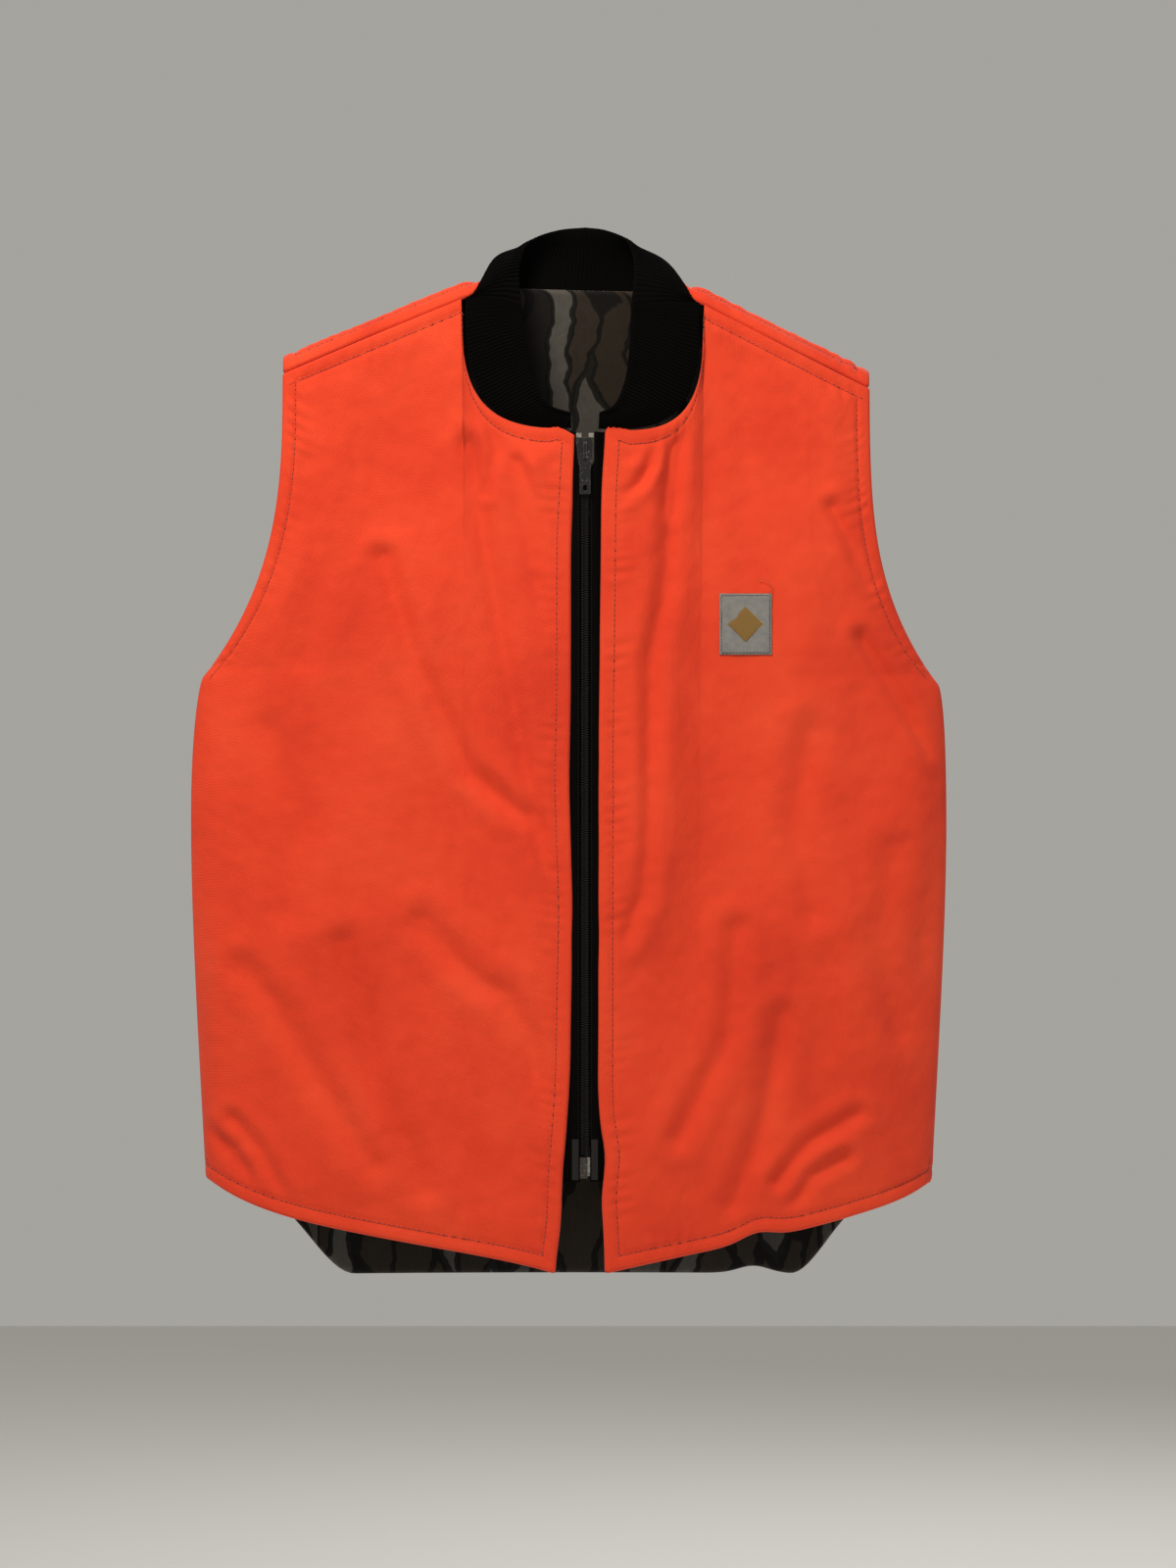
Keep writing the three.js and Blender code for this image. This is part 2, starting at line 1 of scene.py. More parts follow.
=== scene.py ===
import math
import bpy
import numpy as np
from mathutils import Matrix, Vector


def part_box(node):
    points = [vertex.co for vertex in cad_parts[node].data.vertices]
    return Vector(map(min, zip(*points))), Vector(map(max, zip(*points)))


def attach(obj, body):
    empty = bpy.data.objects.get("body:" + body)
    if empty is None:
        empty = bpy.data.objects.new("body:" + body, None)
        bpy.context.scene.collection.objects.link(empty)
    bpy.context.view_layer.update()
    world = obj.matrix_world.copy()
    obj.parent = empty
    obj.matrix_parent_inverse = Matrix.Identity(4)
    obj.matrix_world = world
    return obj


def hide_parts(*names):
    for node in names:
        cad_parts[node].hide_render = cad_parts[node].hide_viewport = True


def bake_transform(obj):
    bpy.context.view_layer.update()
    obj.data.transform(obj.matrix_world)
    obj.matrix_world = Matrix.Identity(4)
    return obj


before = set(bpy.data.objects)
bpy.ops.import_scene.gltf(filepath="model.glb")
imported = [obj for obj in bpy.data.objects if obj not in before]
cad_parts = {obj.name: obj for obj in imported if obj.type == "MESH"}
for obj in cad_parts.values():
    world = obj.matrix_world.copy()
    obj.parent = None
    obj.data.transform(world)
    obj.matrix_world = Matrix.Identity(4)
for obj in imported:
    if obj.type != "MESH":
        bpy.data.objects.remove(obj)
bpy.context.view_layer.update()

# -------------------- the view
# The vest hangs at eye level, seen straight on from in front. The frame takes in
# 0.78 by 1.04 m at the chest. A big warm lamp stands above and to the left, with a soft fill.
VIEW_HEIGHT, CAMERA_DISTANCE, EYE_X, EYE_Z = 1.04, 3.6, 0.002, -0.335
chest_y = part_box("left_front_shell")[0][1]
camera_data = bpy.data.cameras.new("camera")
camera_data.lens = camera_data.sensor_width * CAMERA_DISTANCE / VIEW_HEIGHT
camera = bpy.data.objects.new("camera", camera_data)
camera.location = (EYE_X, chest_y - CAMERA_DISTANCE, EYE_Z)
camera.rotation_euler = (math.pi / 2, 0, 0)
bpy.context.scene.collection.objects.link(camera)
bpy.context.scene.camera = camera


def linear(hex_colour):
    """The linear colour of an sRGB hex value: each channel to the power of about 2.4."""
    channels = np.array([int(hex_colour[i:i + 2], 16) / 255 for i in (1, 3, 5)])
    bright = ((channels + 0.055) / 1.055) ** 2.4
    return (*np.where(channels <= 0.04045, channels / 12.92, bright).tolist(), 1.0)


def lamp(name, place, aim, size, power, colour):
    """A square area lamp at a place, turned to face a point."""
    data = bpy.data.lights.new(name, "AREA")
    data.size, data.energy, data.color = size, power, linear(colour)[:3]
    lamp_object = bpy.data.objects.new(name, data)
    lamp_object.location = place
    lamp_object.rotation_euler = (Vector(aim) - Vector(place)).to_track_quat("-Z", "Y").to_euler()
    bpy.context.scene.collection.objects.link(lamp_object)


middle = (0, 0, -0.35)
lamp("key_lamp", (-0.5, -1.0, 1.05), (0, 0, -0.25), 0.6, 26, "#fff1de")
lamp("fill_lamp", (1.6, -1.6, 0.2), middle, 1.6, 5, "#e8f0ff")
lamp("back_lamp", (0.6, 1.8, 1.0), middle, 1.6, 26, "#ffffff")
world = bpy.data.worlds.new("pale_room")
world.use_nodes = True
daylight = world.node_tree.nodes["Background"].inputs
daylight["Color"].default_value, daylight["Strength"].default_value = linear("#f4f1ea"), 0.42
bpy.context.scene.world = world
bpy.context.scene.view_settings.view_transform = "Standard"

# -------------------- pale floor
# A wide floor of matt off-white paint, far enough below the vest to catch only its soft shadow.
FLOOR_HALF, FLOOR_Z = 4, -1.1


def plug(material, node, inputs):
    """Sets a node's inputs, each to a value, or by a link from an output or a node's first one."""
    for name, value in inputs.items():
        source = value.outputs[0] if isinstance(value, bpy.types.Node) else value
        if isinstance(source, bpy.types.NodeSocket):
            material.node_tree.links.new(source, node.inputs[name])
        else:
            node.inputs[name].default_value = source


def add_node(material, kind, settings=None, inputs=None, stops=()):
    """Adds a node to a material, with its settings, its inputs as values or links, and for a
    colour ramp its stops as (position, sRGB hex)."""
    node = material.node_tree.nodes.new("ShaderNode" + kind)
    for name, value in (settings or {}).items():
        setattr(node, name, value)
    plug(material, node, inputs or {})
    if stops:
        elements = node.color_ramp.elements
        while len(elements) < len(stops):
            elements.new(0.5)
        for element, (position, colour) in zip(elements, stops):
            element.position, element.color = position, linear(colour)
    return node


def shade(material, inputs):
    """Sets or links inputs of a material's principled shader."""
    plug(material, material.node_tree.nodes["Principled BSDF"], inputs)


def new_material(name, roughness, **sockets):
    """A principled material with its uniform values set on the shader's own sockets."""
    material = bpy.data.materials.new(name)
    material.use_nodes = True
    shade(material, {"Roughness": roughness})
    shade(material, {socket.replace("_", " "): value for socket, value in sockets.items()})
    return material


floor_mesh = bpy.data.meshes.new("floor")
floor_mesh.from_pydata([(x * FLOOR_HALF, y * FLOOR_HALF, FLOOR_Z)
                        for x, y in ((-1, -1), (1, -1), (1, 1), (-1, 1))], [], [(0, 1, 2, 3)])
floor = bpy.data.objects.new("floor", floor_mesh)
bpy.context.scene.collection.objects.link(floor)
floor_mesh.materials.append(new_material("pale_floor_paint", 0.7, Base_Color=linear("#dededb")))

# -------------------- outline of the hung vest
# The vest hangs flat, as wide as its side seams, with rolled shoulders over the hanger's arms.
# Lengths are millimetres here and metres in the meshes; the widths come from the frame's boxes.
MM = 0.001
SHOULDER, ARMPIT, HEM_HALF, NECK = 198, 248, 245, 80  # half widths
FOLD = round(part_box("left_side_shell")[0][0] / MM)  # the line that a front swings open about
EDGE = round(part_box("left_front_shell")[0][0] / MM)  # a front's edge at the zipper
RIDGE_TOP, FALL, ROLL = 3, 0.45, 13  # the shoulders' height at the neck, slope and roll radius
ARMPIT_Z, SIDE_HEM_Z, FRONT_HEM_Z = -266, -602, -662
BACK_HEM_Z = round(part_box("back_shell")[0][2] / MM)
ARMHOLE_POWER, SIDE_SWELL = 3.2, 8
HEM_SLOPE, HEM_CORNER = 0.19, 15  # the front hem climbs to the sides, and most at its corners
TAIL_STEP, TAIL_FLAT, TAIL_CORNER, TAIL_SIDE = 48, 150, 206, 190
FRONT_DEPTH, BELLY, BACK_DEPTH, NAPE_DEPTH, SLACK = 52, 8, 52, 15, 32
NECK_DROP, NECK_ROUNDNESS, CROSS_START, NECK_BAND = 87, 0.62, 50, 40
WALL = 6.6  # shell, padding and lining together
EDGE_ROLL = 2.7  # half the thickness of a turned edge
SEAM_TOP_Z = RIDGE_TOP - ROLL


def smooth(x, low, high):
    """Smoothstep: 0 below low, 1 above high, with flat ends."""
    t = np.clip((x - low) / (high - low), 0, 1)
    return t * t * (3 - 2 * t)


def mix(a, b, t):
    """Straight from a at 0 to b at 1."""
    return a + (b - a) * t


def seam_z(x):
    """Height of the shoulder seam: it falls with the ridge, one roll radius below it."""
    return RIDGE_TOP - FALL * (x - NECK) - ROLL


TIP_Z = seam_z(SHOULDER)


def half_width(z):
    """Armhole edge above the armpit, side seam with a swell below it."""
    above = np.clip((TIP_Z - z) / (TIP_Z - ARMPIT_Z), 0, 1)
    below = np.clip((ARMPIT_Z - z) / (ARMPIT_Z - SIDE_HEM_Z), 0, 1)
    side = mix(ARMPIT, HEM_HALF, below) + SIDE_SWELL * np.sin(np.pi * below ** 0.6)
    return np.where(z > ARMPIT_Z, mix(SHOULDER, ARMPIT, above ** ARMHOLE_POWER), side)


def armhole_gap(z):
    """Half the opening between the front and back armhole edges."""
    up = np.clip((z - ARMPIT_Z) / (TIP_Z - ARMPIT_Z), 0, 1)
    return ROLL * up + SLACK * np.sqrt(up) * (1 - up)


def front_depth(z):
    """How far the front stands forward: it grows evenly from the shoulder seam to the hem."""
    return mix(ROLL, FRONT_DEPTH, (SEAM_TOP_Z - z) / (SEAM_TOP_Z - FRONT_HEM_Z))


def front_hem(x):
    """Height of the front hem: a slope, with an eighth power that turns its corner up."""
    return FRONT_HEM_Z + HEM_SLOPE * x + HEM_CORNER * (x / HEM_HALF) ** 8


def back_hem(x):
    """Height of the back hem: a flat tail, a smooth step up, and a slope to the side seam."""
    tail = BACK_HEM_Z + TAIL_STEP * smooth(x, TAIL_FLAT, TAIL_CORNER)
    rest = SIDE_HEM_Z - BACK_HEM_Z - TAIL_STEP
    return tail + rest * np.clip((x - TAIL_SIDE) / (HEM_HALF - TAIL_SIDE), 0, 1)


def neckline(t):
    """Quarter of a superellipse from the zipper (0) to the shoulder seam (1)."""
    angle = np.clip(t, 0, 1) * np.pi / 2
    x = mix(EDGE, NECK, np.sin(angle) ** NECK_ROUNDNESS)
    return x, SEAM_TOP_Z - NECK_DROP * np.maximum(np.cos(angle), 0) ** NECK_ROUNDNESS


def section(z, angle, full, depth, inner):
    """A horizontal ellipse arc from a half width round to the side seam or armhole edge."""
    open_gap = np.maximum(armhole_gap(z) - depth, EDGE_ROLL + 0.1)
    half = half_width(z) - depth
    forward = open_gap + (full - depth - open_gap) * np.cos(angle)
    return inner + (half - inner) * np.sin(angle), forward


SHIFT, LOW_SHIFT, SHOULDER_DROP, HEM_DROOP = 6, 5, 5, 3
HEM_KICK, KICK_X, KICK_WIDTH = 5, 121, 16


def hang_askew(points):
    """The vest hangs a little to one side: its outer parts shift, one shoulder drops, and a
    fold kicks the wearer's left hem up. All of it fades out at the zipper."""
    x, z = points[..., 0].copy(), points[..., 2].copy()
    outer = smooth(np.abs(x), 25, 200)
    points[..., 0] -= (SHIFT + LOW_SHIFT * smooth(-z, 100, 350)) * outer
    points[..., 2] -= SHOULDER_DROP * x / SHOULDER * smooth(z, -420, -60)
    hem = smooth(-z, 480, 640)
    kick = hem * HEM_KICK * np.exp(-((x - KICK_X) / KICK_WIDTH) ** 2)
    points[..., 2] += kick - hem * HEM_DROOP * smooth(x, 190, 250)
    return points


# Where each front's zipper edge really runs, as heights and half widths: it bows a little,
# and splays at the bottom. Its top corner is a soft tip, turned over on the wearer's left.
EDGE_RUNS = {1: ((-657, -636, -604, -586, -562, -543, -300, -179, -144, -122, -103),
                 (13.0, 12.4, 10.4, 14.6, 9.8, 8.5, 9.0, 10.5, 10.7, 11.8, 13.4)),
             -1: ((-652, -628, -597, -570, -530, -419, -335, -270, -174, -136, -109),
                  (19.5, 15.6, 15.0, 12.4, 9.8, 7.8, 10.4, 9.1, 9.2, 7.4, 6.2))}
TIP_RISE = {1: (8.0, 15, 5.0, -1.0), -1: (3.5, 17, 6.0, -7.0)}  # rise, its place and width, corner
NECK_SHARE = 0.9  # of the flap's columns end on the neckline, and the rest on the shoulder seam


def front_surface(side, depth, columns=(44, 84), rows=300, inset=EDGE_ROLL):
    """Front of one side, from zipper edge to side seam and from hem to neckline and shoulder.
    Columns run towards +X, so a grid always faces out. side is 1 on the wearer's left."""
    v = np.linspace(0, 1, rows)[:, None]
    u = np.linspace(0, 1, columns[0])[None, :]
    start = EDGE + inset
    neck_x, neck_z = neckline(u / NECK_SHARE)
    beyond = np.clip((u - NECK_SHARE) / (1 - NECK_SHARE), 0, 1)
    share = (neck_x - EDGE) / (NECK - EDGE)
    top_x = mix(mix(start, NECK + inset / 2, share), FOLD, beyond)
    top_z = neck_z - beyond * FALL * (FOLD - NECK) - inset
    bottom_x = mix(start, FOLD, u)
    z = mix(front_hem(bottom_x) + inset, top_z, v)
    x = mix(bottom_x, top_x, v ** 3)
    rise, rise_x, rise_width, corner = TIP_RISE[side]
    tip = rise * np.exp(-((top_x - rise_x) / rise_width) ** 2)
    tip = tip + corner * np.exp(-((top_x - EDGE) / 4.5) ** 2)
    z = z + tip * v ** 12
    run = sum(np.interp(z + step, *EDGE_RUNS[side]) for step in (-12, -6, 0, 6, 12)) / 5
    x = x + (run - EDGE) * (1 - u) ** 3
    y = depth - front_depth(z) - BELLY * (1 - (x / FOLD) ** 2) ** 2
    flap = np.stack([x, y, z], -1)
    angle = np.linspace(0, 1, columns[1])[None, 1:] * np.pi / 2
    across = np.sin(angle)
    bottom = front_hem(mix(FOLD, HEM_HALF, across)) + inset
    z = mix(bottom, seam_z(mix(FOLD, SHOULDER, across)) - inset, v)
    x, y = section(z, angle, front_depth(z), depth, FOLD)
    panel = np.concatenate([flap, np.stack([x, -y, z], -1)], 1)
    if side < 0:
        panel = panel[:, ::-1] * np.array([-1, 1, 1])
    return hang_askew(panel)


def crossing(x):
    """0 over the nape, 1 over the shoulders, where the back passes on to the front."""
    return smooth(np.abs(x), CROSS_START, NECK)


def back_surface(depth, columns=170, rows=250, roll_rows=0.14, inset=EDGE_ROLL):
    """The back from side seam to side seam, over the rolled shoulders to their seams in front.
    Its columns are spaced by angle, and its top rows turn about the roll's centre."""
    u = np.linspace(0, 1, columns)
    u = u + 0.35 * np.sin(2 * np.pi * u) / (2 * np.pi)
    angle = mix(np.pi / 2, -np.pi / 2, u)[None, :]
    top_x = SHOULDER * np.sin(angle)
    over = crossing(top_x)
    centre_z = seam_z(np.maximum(np.abs(top_x), NECK)) * over - inset * (1 - over)
    centre_y = NAPE_DEPTH * (1 - over)
    hem = back_hem(HEM_HALF * np.abs(np.sin(angle))) + inset
    v = np.linspace(0, 1, rows)[:, None]
    turn = np.clip((v - 1 + roll_rows) / roll_rows, 0, 1)
    roll_start = centre_z - NECK_BAND * (1 - over)
    z = mix(hem, roll_start, np.minimum(v / (1 - roll_rows), 1))
    z = np.where(turn > 0, mix(roll_start, centre_z, turn), z)
    below = centre_z - z
    full = ROLL + (BACK_DEPTH - ROLL) * np.sin(np.clip(below / 290, 0, 1) * np.pi / 2)
    full = full - 8 * smooth(-z, 400, 660) + centre_y * (1 - np.clip(below / 200, 0, 1))
    x, y = section(z, angle, full, depth, 0)
    radius = ROLL - depth
    swing = turn * np.maximum(np.pi - 1.1 * inset / ROLL, 0) * over
    points = np.stack([x, y + radius * (np.cos(swing) - 1), z + radius * np.sin(swing)], -1)
    return hang_askew(points)


# -------------------- blaze orange shell
# The outside is cotton-polyester twill dyed blaze orange: two front pieces and one back piece,
# turned in at every edge and topstitched, with soft creases where the padding has settled.
def outward(points):
    """Unit normals of a grid: the cross product of its two directions."""
    along_u = np.gradient(points, axis=1)
    along_v = np.gradient(points, axis=0)
    normal = np.cross(along_u, along_v)
    return normal / np.maximum(np.linalg.norm(normal, axis=-1, keepdims=True), 1e-9)


def edge_distance(points):
    """Arc lengths in millimetres from each point of a grid to its four edges, as
    (first column, last column, first row, last row)."""
    step_u = np.linalg.norm(np.diff(points, axis=1), axis=-1)
    step_v = np.linalg.norm(np.diff(points, axis=0), axis=-1)
    left = np.concatenate([np.zeros((len(points), 1)), np.cumsum(step_u, 1)], 1)
    low = np.concatenate([np.zeros((1, points.shape[1])), np.cumsum(step_v, 0)], 0)
    return left, left[:, -1:] - left, low, low[-1:] - low


def line_distance(x, z, line):
    """Distance from each (x, z) to a polyline: the least over its segments."""
    best = np.full(x.shape, 1e9)
    for (x0, z0), (x1, z1) in zip(line[:-1], line[1:]):
        dx, dz = x1 - x0, z1 - z0
        t = np.clip(((x - x0) * dx + (z - z0) * dz) / (dx * dx + dz * dz), 0, 1)
        best = np.minimum(best, np.hypot(x - x0 - t * dx, z - z0 - t * dz))
    return best


def creases(x, z, lines):
    """Soft folds: each is a valley along a line with a low ridge on both sides."""
    total = np.zeros(x.shape)
    for depth, width, line in lines:
        d = line_distance(x, z, line)
        total -= depth * np.exp(-(d / width) ** 2)
        total += 0.6 * depth * np.exp(-((d - 2.1 * width) / (1.2 * width)) ** 2)
    return total


def swell(x, z, wavelength, seed, stretch=1.0, count=14):
    """Smooth unevenness of about unit height: a sum of waves in seeded random directions,
    each near one wavelength, drawn out along Z by stretch."""
    rng = np.random.default_rng(seed)
    total = np.zeros(x.shape)
    for heading, phase, scale in rng.uniform(0, 1, (count, 3)):
        turn, k = heading * np.pi, 2 * np.pi / (wavelength * (0.7 + 0.8 * scale))
        total += np.sin(k * (x * np.cos(turn) + z / stretch * np.sin(turn)) + phase * 2 * np.pi)
    return total / math.sqrt(count / 2)


def puckers(along, distance, spacing, reach, seed):
    """Gathers that a line of stitching pulls into padded cloth: waves along the seam that fade
    with distance from it."""
    drift = swell(along, along * 0, spacing * 9, seed) * spacing * 0.5
    fade = np.exp(-(distance / reach) ** 2)
    strength = 0.6 + 0.4 * swell(along, along * 0, spacing * 5, seed + 1)
    return np.sin(2 * np.pi * (along + drift) / spacing) * fade * strength


def new_piece(name, mesh, material):
    """The object for a finished mesh, smooth and in one material."""
    mesh.shade_smooth()
    mesh.materials.append(material)
    piece = bpy.data.objects.new(name, mesh)
    bpy.context.scene.collection.objects.link(piece)
    return piece


def quad_piece(name, points, quads, uv, material):
    """A piece from points in millimetres and quads between them, with a UV map in metres."""
    mesh = bpy.data.meshes.new(name)
    mesh.vertices.add(len(points))
    mesh.vertices.foreach_set("co", (points * MM).astype(np.float32).ravel())
    mesh.loops.add(quads.size)
    mesh.loops.foreach_set("vertex_index", quads.astype(np.int32).ravel())
    mesh.polygons.add(len(quads))
    mesh.polygons.foreach_set("loop_start", np.arange(0, quads.size, 4, dtype=np.int32))
    mesh.update(calc_edges=True)
    layer = mesh.uv_layers.new(name="cloth")
    layer.data.foreach_set("uv", uv.reshape(-1, 2)[quads.ravel()].astype(np.float32).ravel())
    return new_piece(name, mesh, material)


def grid_quads(points):
    """The numbers of a grid's points, and the quads between them."""
    index = np.arange(points.shape[0] * points.shape[1]).reshape(points.shape[:2])
    quads = np.stack([index[:-1, :-1], index[:-1, 1:], index[1:, 1:], index[1:, :-1]], -1)
    return index, quads.reshape(-1, 4)


def cloth_map(points):
    """A grid's UV map: its arc lengths in metres from the first column and the first row."""
    left, _, low, _ = edge_distance(points)
    return np.stack([left, low], -1) * MM


def wrap_edges(points, lift, loops=5, last_turn=1.5, turn_in=1.8):
    """Carries a grid round its own edges: every border is rolled nearly a quarter turn about the
    wall's middle and then turned in. Two rolls share a corner by adding as vectors."""
    normal = outward(points)
    first_u = points[:, :1] - points[:, 1:2]
    last_u = points[:, -1:] - points[:, -2:-1]
    first_v = points[:1] - points[1:2]
    last_v = points[-1:] - points[-2:-1]
    pad = loops + 1
    middle_points = np.pad(points, ((pad, pad), (pad, pad), (0, 0)), mode="edge")
    normals = np.pad(normal, ((pad, pad), (pad, pad), (0, 0)), mode="edge")
    lifts = np.pad(lift, pad, mode="edge")
    turn = np.concatenate([np.arange(1, loops + 1) / loops * last_turn, [last_turn]])
    rows, columns = middle_points.shape[:2]
    angle_u, angle_v = np.zeros((1, columns)), np.zeros((rows, 1))
    angle_u[0, :pad], angle_u[0, -pad:] = turn[::-1], turn
    angle_v[:pad, 0], angle_v[-pad:, 0] = turn[::-1], turn
    side_u = np.zeros((len(points), columns, 3))
    side_u[:, :pad], side_u[:, -pad:] = first_u, last_u
    side_u = np.pad(side_u, ((pad, pad), (0, 0), (0, 0)), mode="edge")
    side_v = np.zeros((rows, points.shape[1], 3))
    side_v[:pad], side_v[-pad:] = first_v, last_v
    side_v = np.pad(side_v, ((0, 0), (pad, pad), (0, 0)), mode="edge")
    for side in (side_u, side_v):
        side -= normals * np.sum(side * normals, -1, keepdims=True)
        side /= np.maximum(np.linalg.norm(side, axis=-1, keepdims=True), 1e-9)
    edge = side_u * angle_u[..., None] + side_v * angle_v[..., None]
    size = np.linalg.norm(edge, axis=-1, keepdims=True)
    edge /= np.maximum(size, 1e-9)
    angle = np.clip(np.hypot(angle_u, angle_v), 0, last_turn)[..., None]
    reach = EDGE_ROLL + np.where(angle > 0, 0, 1) * lifts[..., None]
    wrapped = middle_points + reach * (normals * np.cos(angle) + edge * np.sin(angle))
    tucked = np.zeros((rows, columns, 1))
    tucked[0], tucked[-1], tucked[:, 0], tucked[:, -1] = 1, 1, 1, 1
    return wrapped - edge * tucked * turn_in


def wave_scale(pitch_mm):
    """A wave texture's scale for a pitch: its waves are 2 pi / (20 scale) metres apart."""
    return 1 / (pitch_mm * MM) / 20 * 2 * np.pi


def twill_material(name, stops, thread_mm, bump_mm, roughness, sheen, specular=0.25):
    """Woven twill: diagonal ribs one thread apart, broken up by the weft, over a mottled dye."""
    material = new_material(name, roughness, Sheen_Weight=sheen, Sheen_Roughness=0.5,
                            Specular_IOR_Level=specular)
    cloth = add_node(material, "UVMap", {"uv_map": "cloth"})
    ribs = add_node(material, "Mapping", None, {"Vector": cloth, "Rotation": (0, 0, math.radians(63))})
    pitch = wave_scale(thread_mm)
    lines = add_node(material, "TexWave", {"wave_profile": "SIN"}, {"Vector": ribs, "Scale": pitch,
                      "Distortion": 1.2, "Detail": 2.0, "Detail Scale": 3.0})
    weft = add_node(material, "TexWave", {"wave_profile": "SIN", "bands_direction": "Y"},
                    {"Vector": cloth, "Scale": pitch, "Distortion": 0.8})
    slub = add_node(material, "TexNoise", None, {"Vector": cloth, "Scale": 900.0, "Detail": 4.0})
    height = add_node(material, "Mix", {"data_type": "FLOAT"},
                      {"Factor": 0.35, "A": lines.outputs["Fac"], "B": weft.outputs["Fac"]})
    height = add_node(material, "Mix", {"data_type": "FLOAT"}, {"Factor": 0.4, "A": height, "B": slub})
    crumple = add_node(material, "TexNoise", None,
                       {"Vector": cloth, "Scale": 70.0, "Detail": 6.0, "Roughness": 0.55})
    fine = add_node(material, "Bump", None,
                    {"Height": height, "Distance": bump_mm * MM, "Strength": 0.7})
    broad = add_node(material, "Bump", None, {"Height": crumple, "Distance": 3.0 * MM, "Strength": 0.25,
                      "Normal": fine})
    mottle = add_node(material, "TexNoise", None,
                      {"Vector": cloth, "Scale": 9.0, "Detail": 5.0, "Roughness": 0.6})
    dye = add_node(material, "ValToRGB", None, {"Fac": mottle}, stops)
    # Lower threads are tinted darker: painted shade in the grooves of the weave.
    thread = add_node(material, "ValToRGB", None, {"Fac": height},
                      ((0.25, "#b8b0ac"), (0.7, "#ffffff")))
    tint = add_node(material, "Mix", {"data_type": "RGBA", "blend_type": "MULTIPLY"},
                    {"Factor": 0.35, 6: dye, 7: thread})
    shade(material, {"Base Color": tint.outputs[2], "Normal": broad})
    return material


# 0.9 mm between ribs is twice the real spacing, so that the twill still shows.
orange_twill = twill_material("blaze_orange_twill",
                              ((0.3, "#e03a1e"), (0.5, "#ee4524"), (0.72, "#f6502c")),
                              thread_mm=0.9, bump_mm=0.35, roughness=0.82, sheen=0.08)

# Creases of the fronts and the back: each has a depth, a width and the line it runs along.
RIGHT_FOLDS = [
    (3.4, 6.5, [(-135, -184), (-114, -253), (-77, -328), (-33, -362), (-14, -419)]),
    (2.6, 6, [(-79, -107), (-66, -182), (-38, -335), (-16, -390)]),
    (1.8, 3.5, [(-44, -118), (-37, -133), (-29, -154), (-24, -190)]),
    (1.6, 3, [(-31, -106), (-27, -114), (-23, -124)]),
    (1.5, 3.5, [(-62, -92), (-60, -112), (-66, -140)]),
    (2.4, 6, [(-57, -100), (-46, -126), (-23, -229)]),
    (2.6, 8, [(-161, -442), (-147, -493), (-140, -532), (-107, -604)]),
    (2.4, 8, [(-226, -459), (-208, -482), (-177, -534), (-140, -589)]),
    (3.0, 8, [(-109, -428), (-71, -467), (-52, -476), (-36, -505), (-21, -553)]),
    (3.0, 5, [(-252, -569), (-236, -580), (-222, -602)]),
    (2.4, 5, [(-236, -560), (-218, -580), (-202, -610)]),
    (2.0, 9, [(-190, -120), (-178, -190), (-188, -250)]),
    (2.0, 10, [(-210, -300), (-190, -360), (-196, -420)]),
]
LEFT_FOLDS = [
    (3.2, 6, [(62, -80), (54, -204), (44, -250), (42, -367), (38, -408), (26, -436)]),
    (2.8, 7, [(101, -433), (96, -501), (92, -511), (62, -571)]),
    (2.6, 7, [(131, -491), (120, -556), (98, -616)]),
    (2.6, 5, [(181, -556), (150, -574), (128, -600)]),
    (2.4, 5, [(172, -585), (150, -596), (140, -616)]),
    (2.6, 5, [(166, -150), (188, -192), (209, -229)]),
    (2.8, 5, [(185, -237), (206, -270), (230, -312)]),
    (3.4, 3.6, [(46, -104), (43, -122), (36, -133), (26, -142)]),
    (2.4, 3.0, [(37, -100), (34, -109), (29, -117)]),
    (1.6, 3.2, [(23, -91), (17, -104), (15, -116)]),
    (1.8, 5, [(58, -84), (60, -110), (56, -150)]),
    (2.2, 9, [(150, -300), (140, -360), (152, -420)]),
    (2.0, 9, [(205, -380), (196, -440), (210, -500)]),
]
BACK_FOLDS = [
    (3.0, 10, [(-140, -120), (-110, -220), (-124, -320)]),
    (2.6, 10, [(120, -140), (134, -240), (110, -340)]),
    (3.0, 12, [(-30, -80), (-12, -200), (-24, -330), (-10, -420)]),
    (2.8, 9, [(190, -300), (150, -360), (120, -440)]),
    (2.8, 9, [(-196, -320), (-150, -400), (-128, -480)]),
    (2.6, 8, [(40, -480), (60, -560), (44, -640)]),
    (2.4, 8, [(-70, -520), (-56, -590), (-70, -650)]),
]
STITCH_IN, GROOVE, GATHER = 7.0, 1.1, 0.36  # topstitching: its inset, groove and puckers


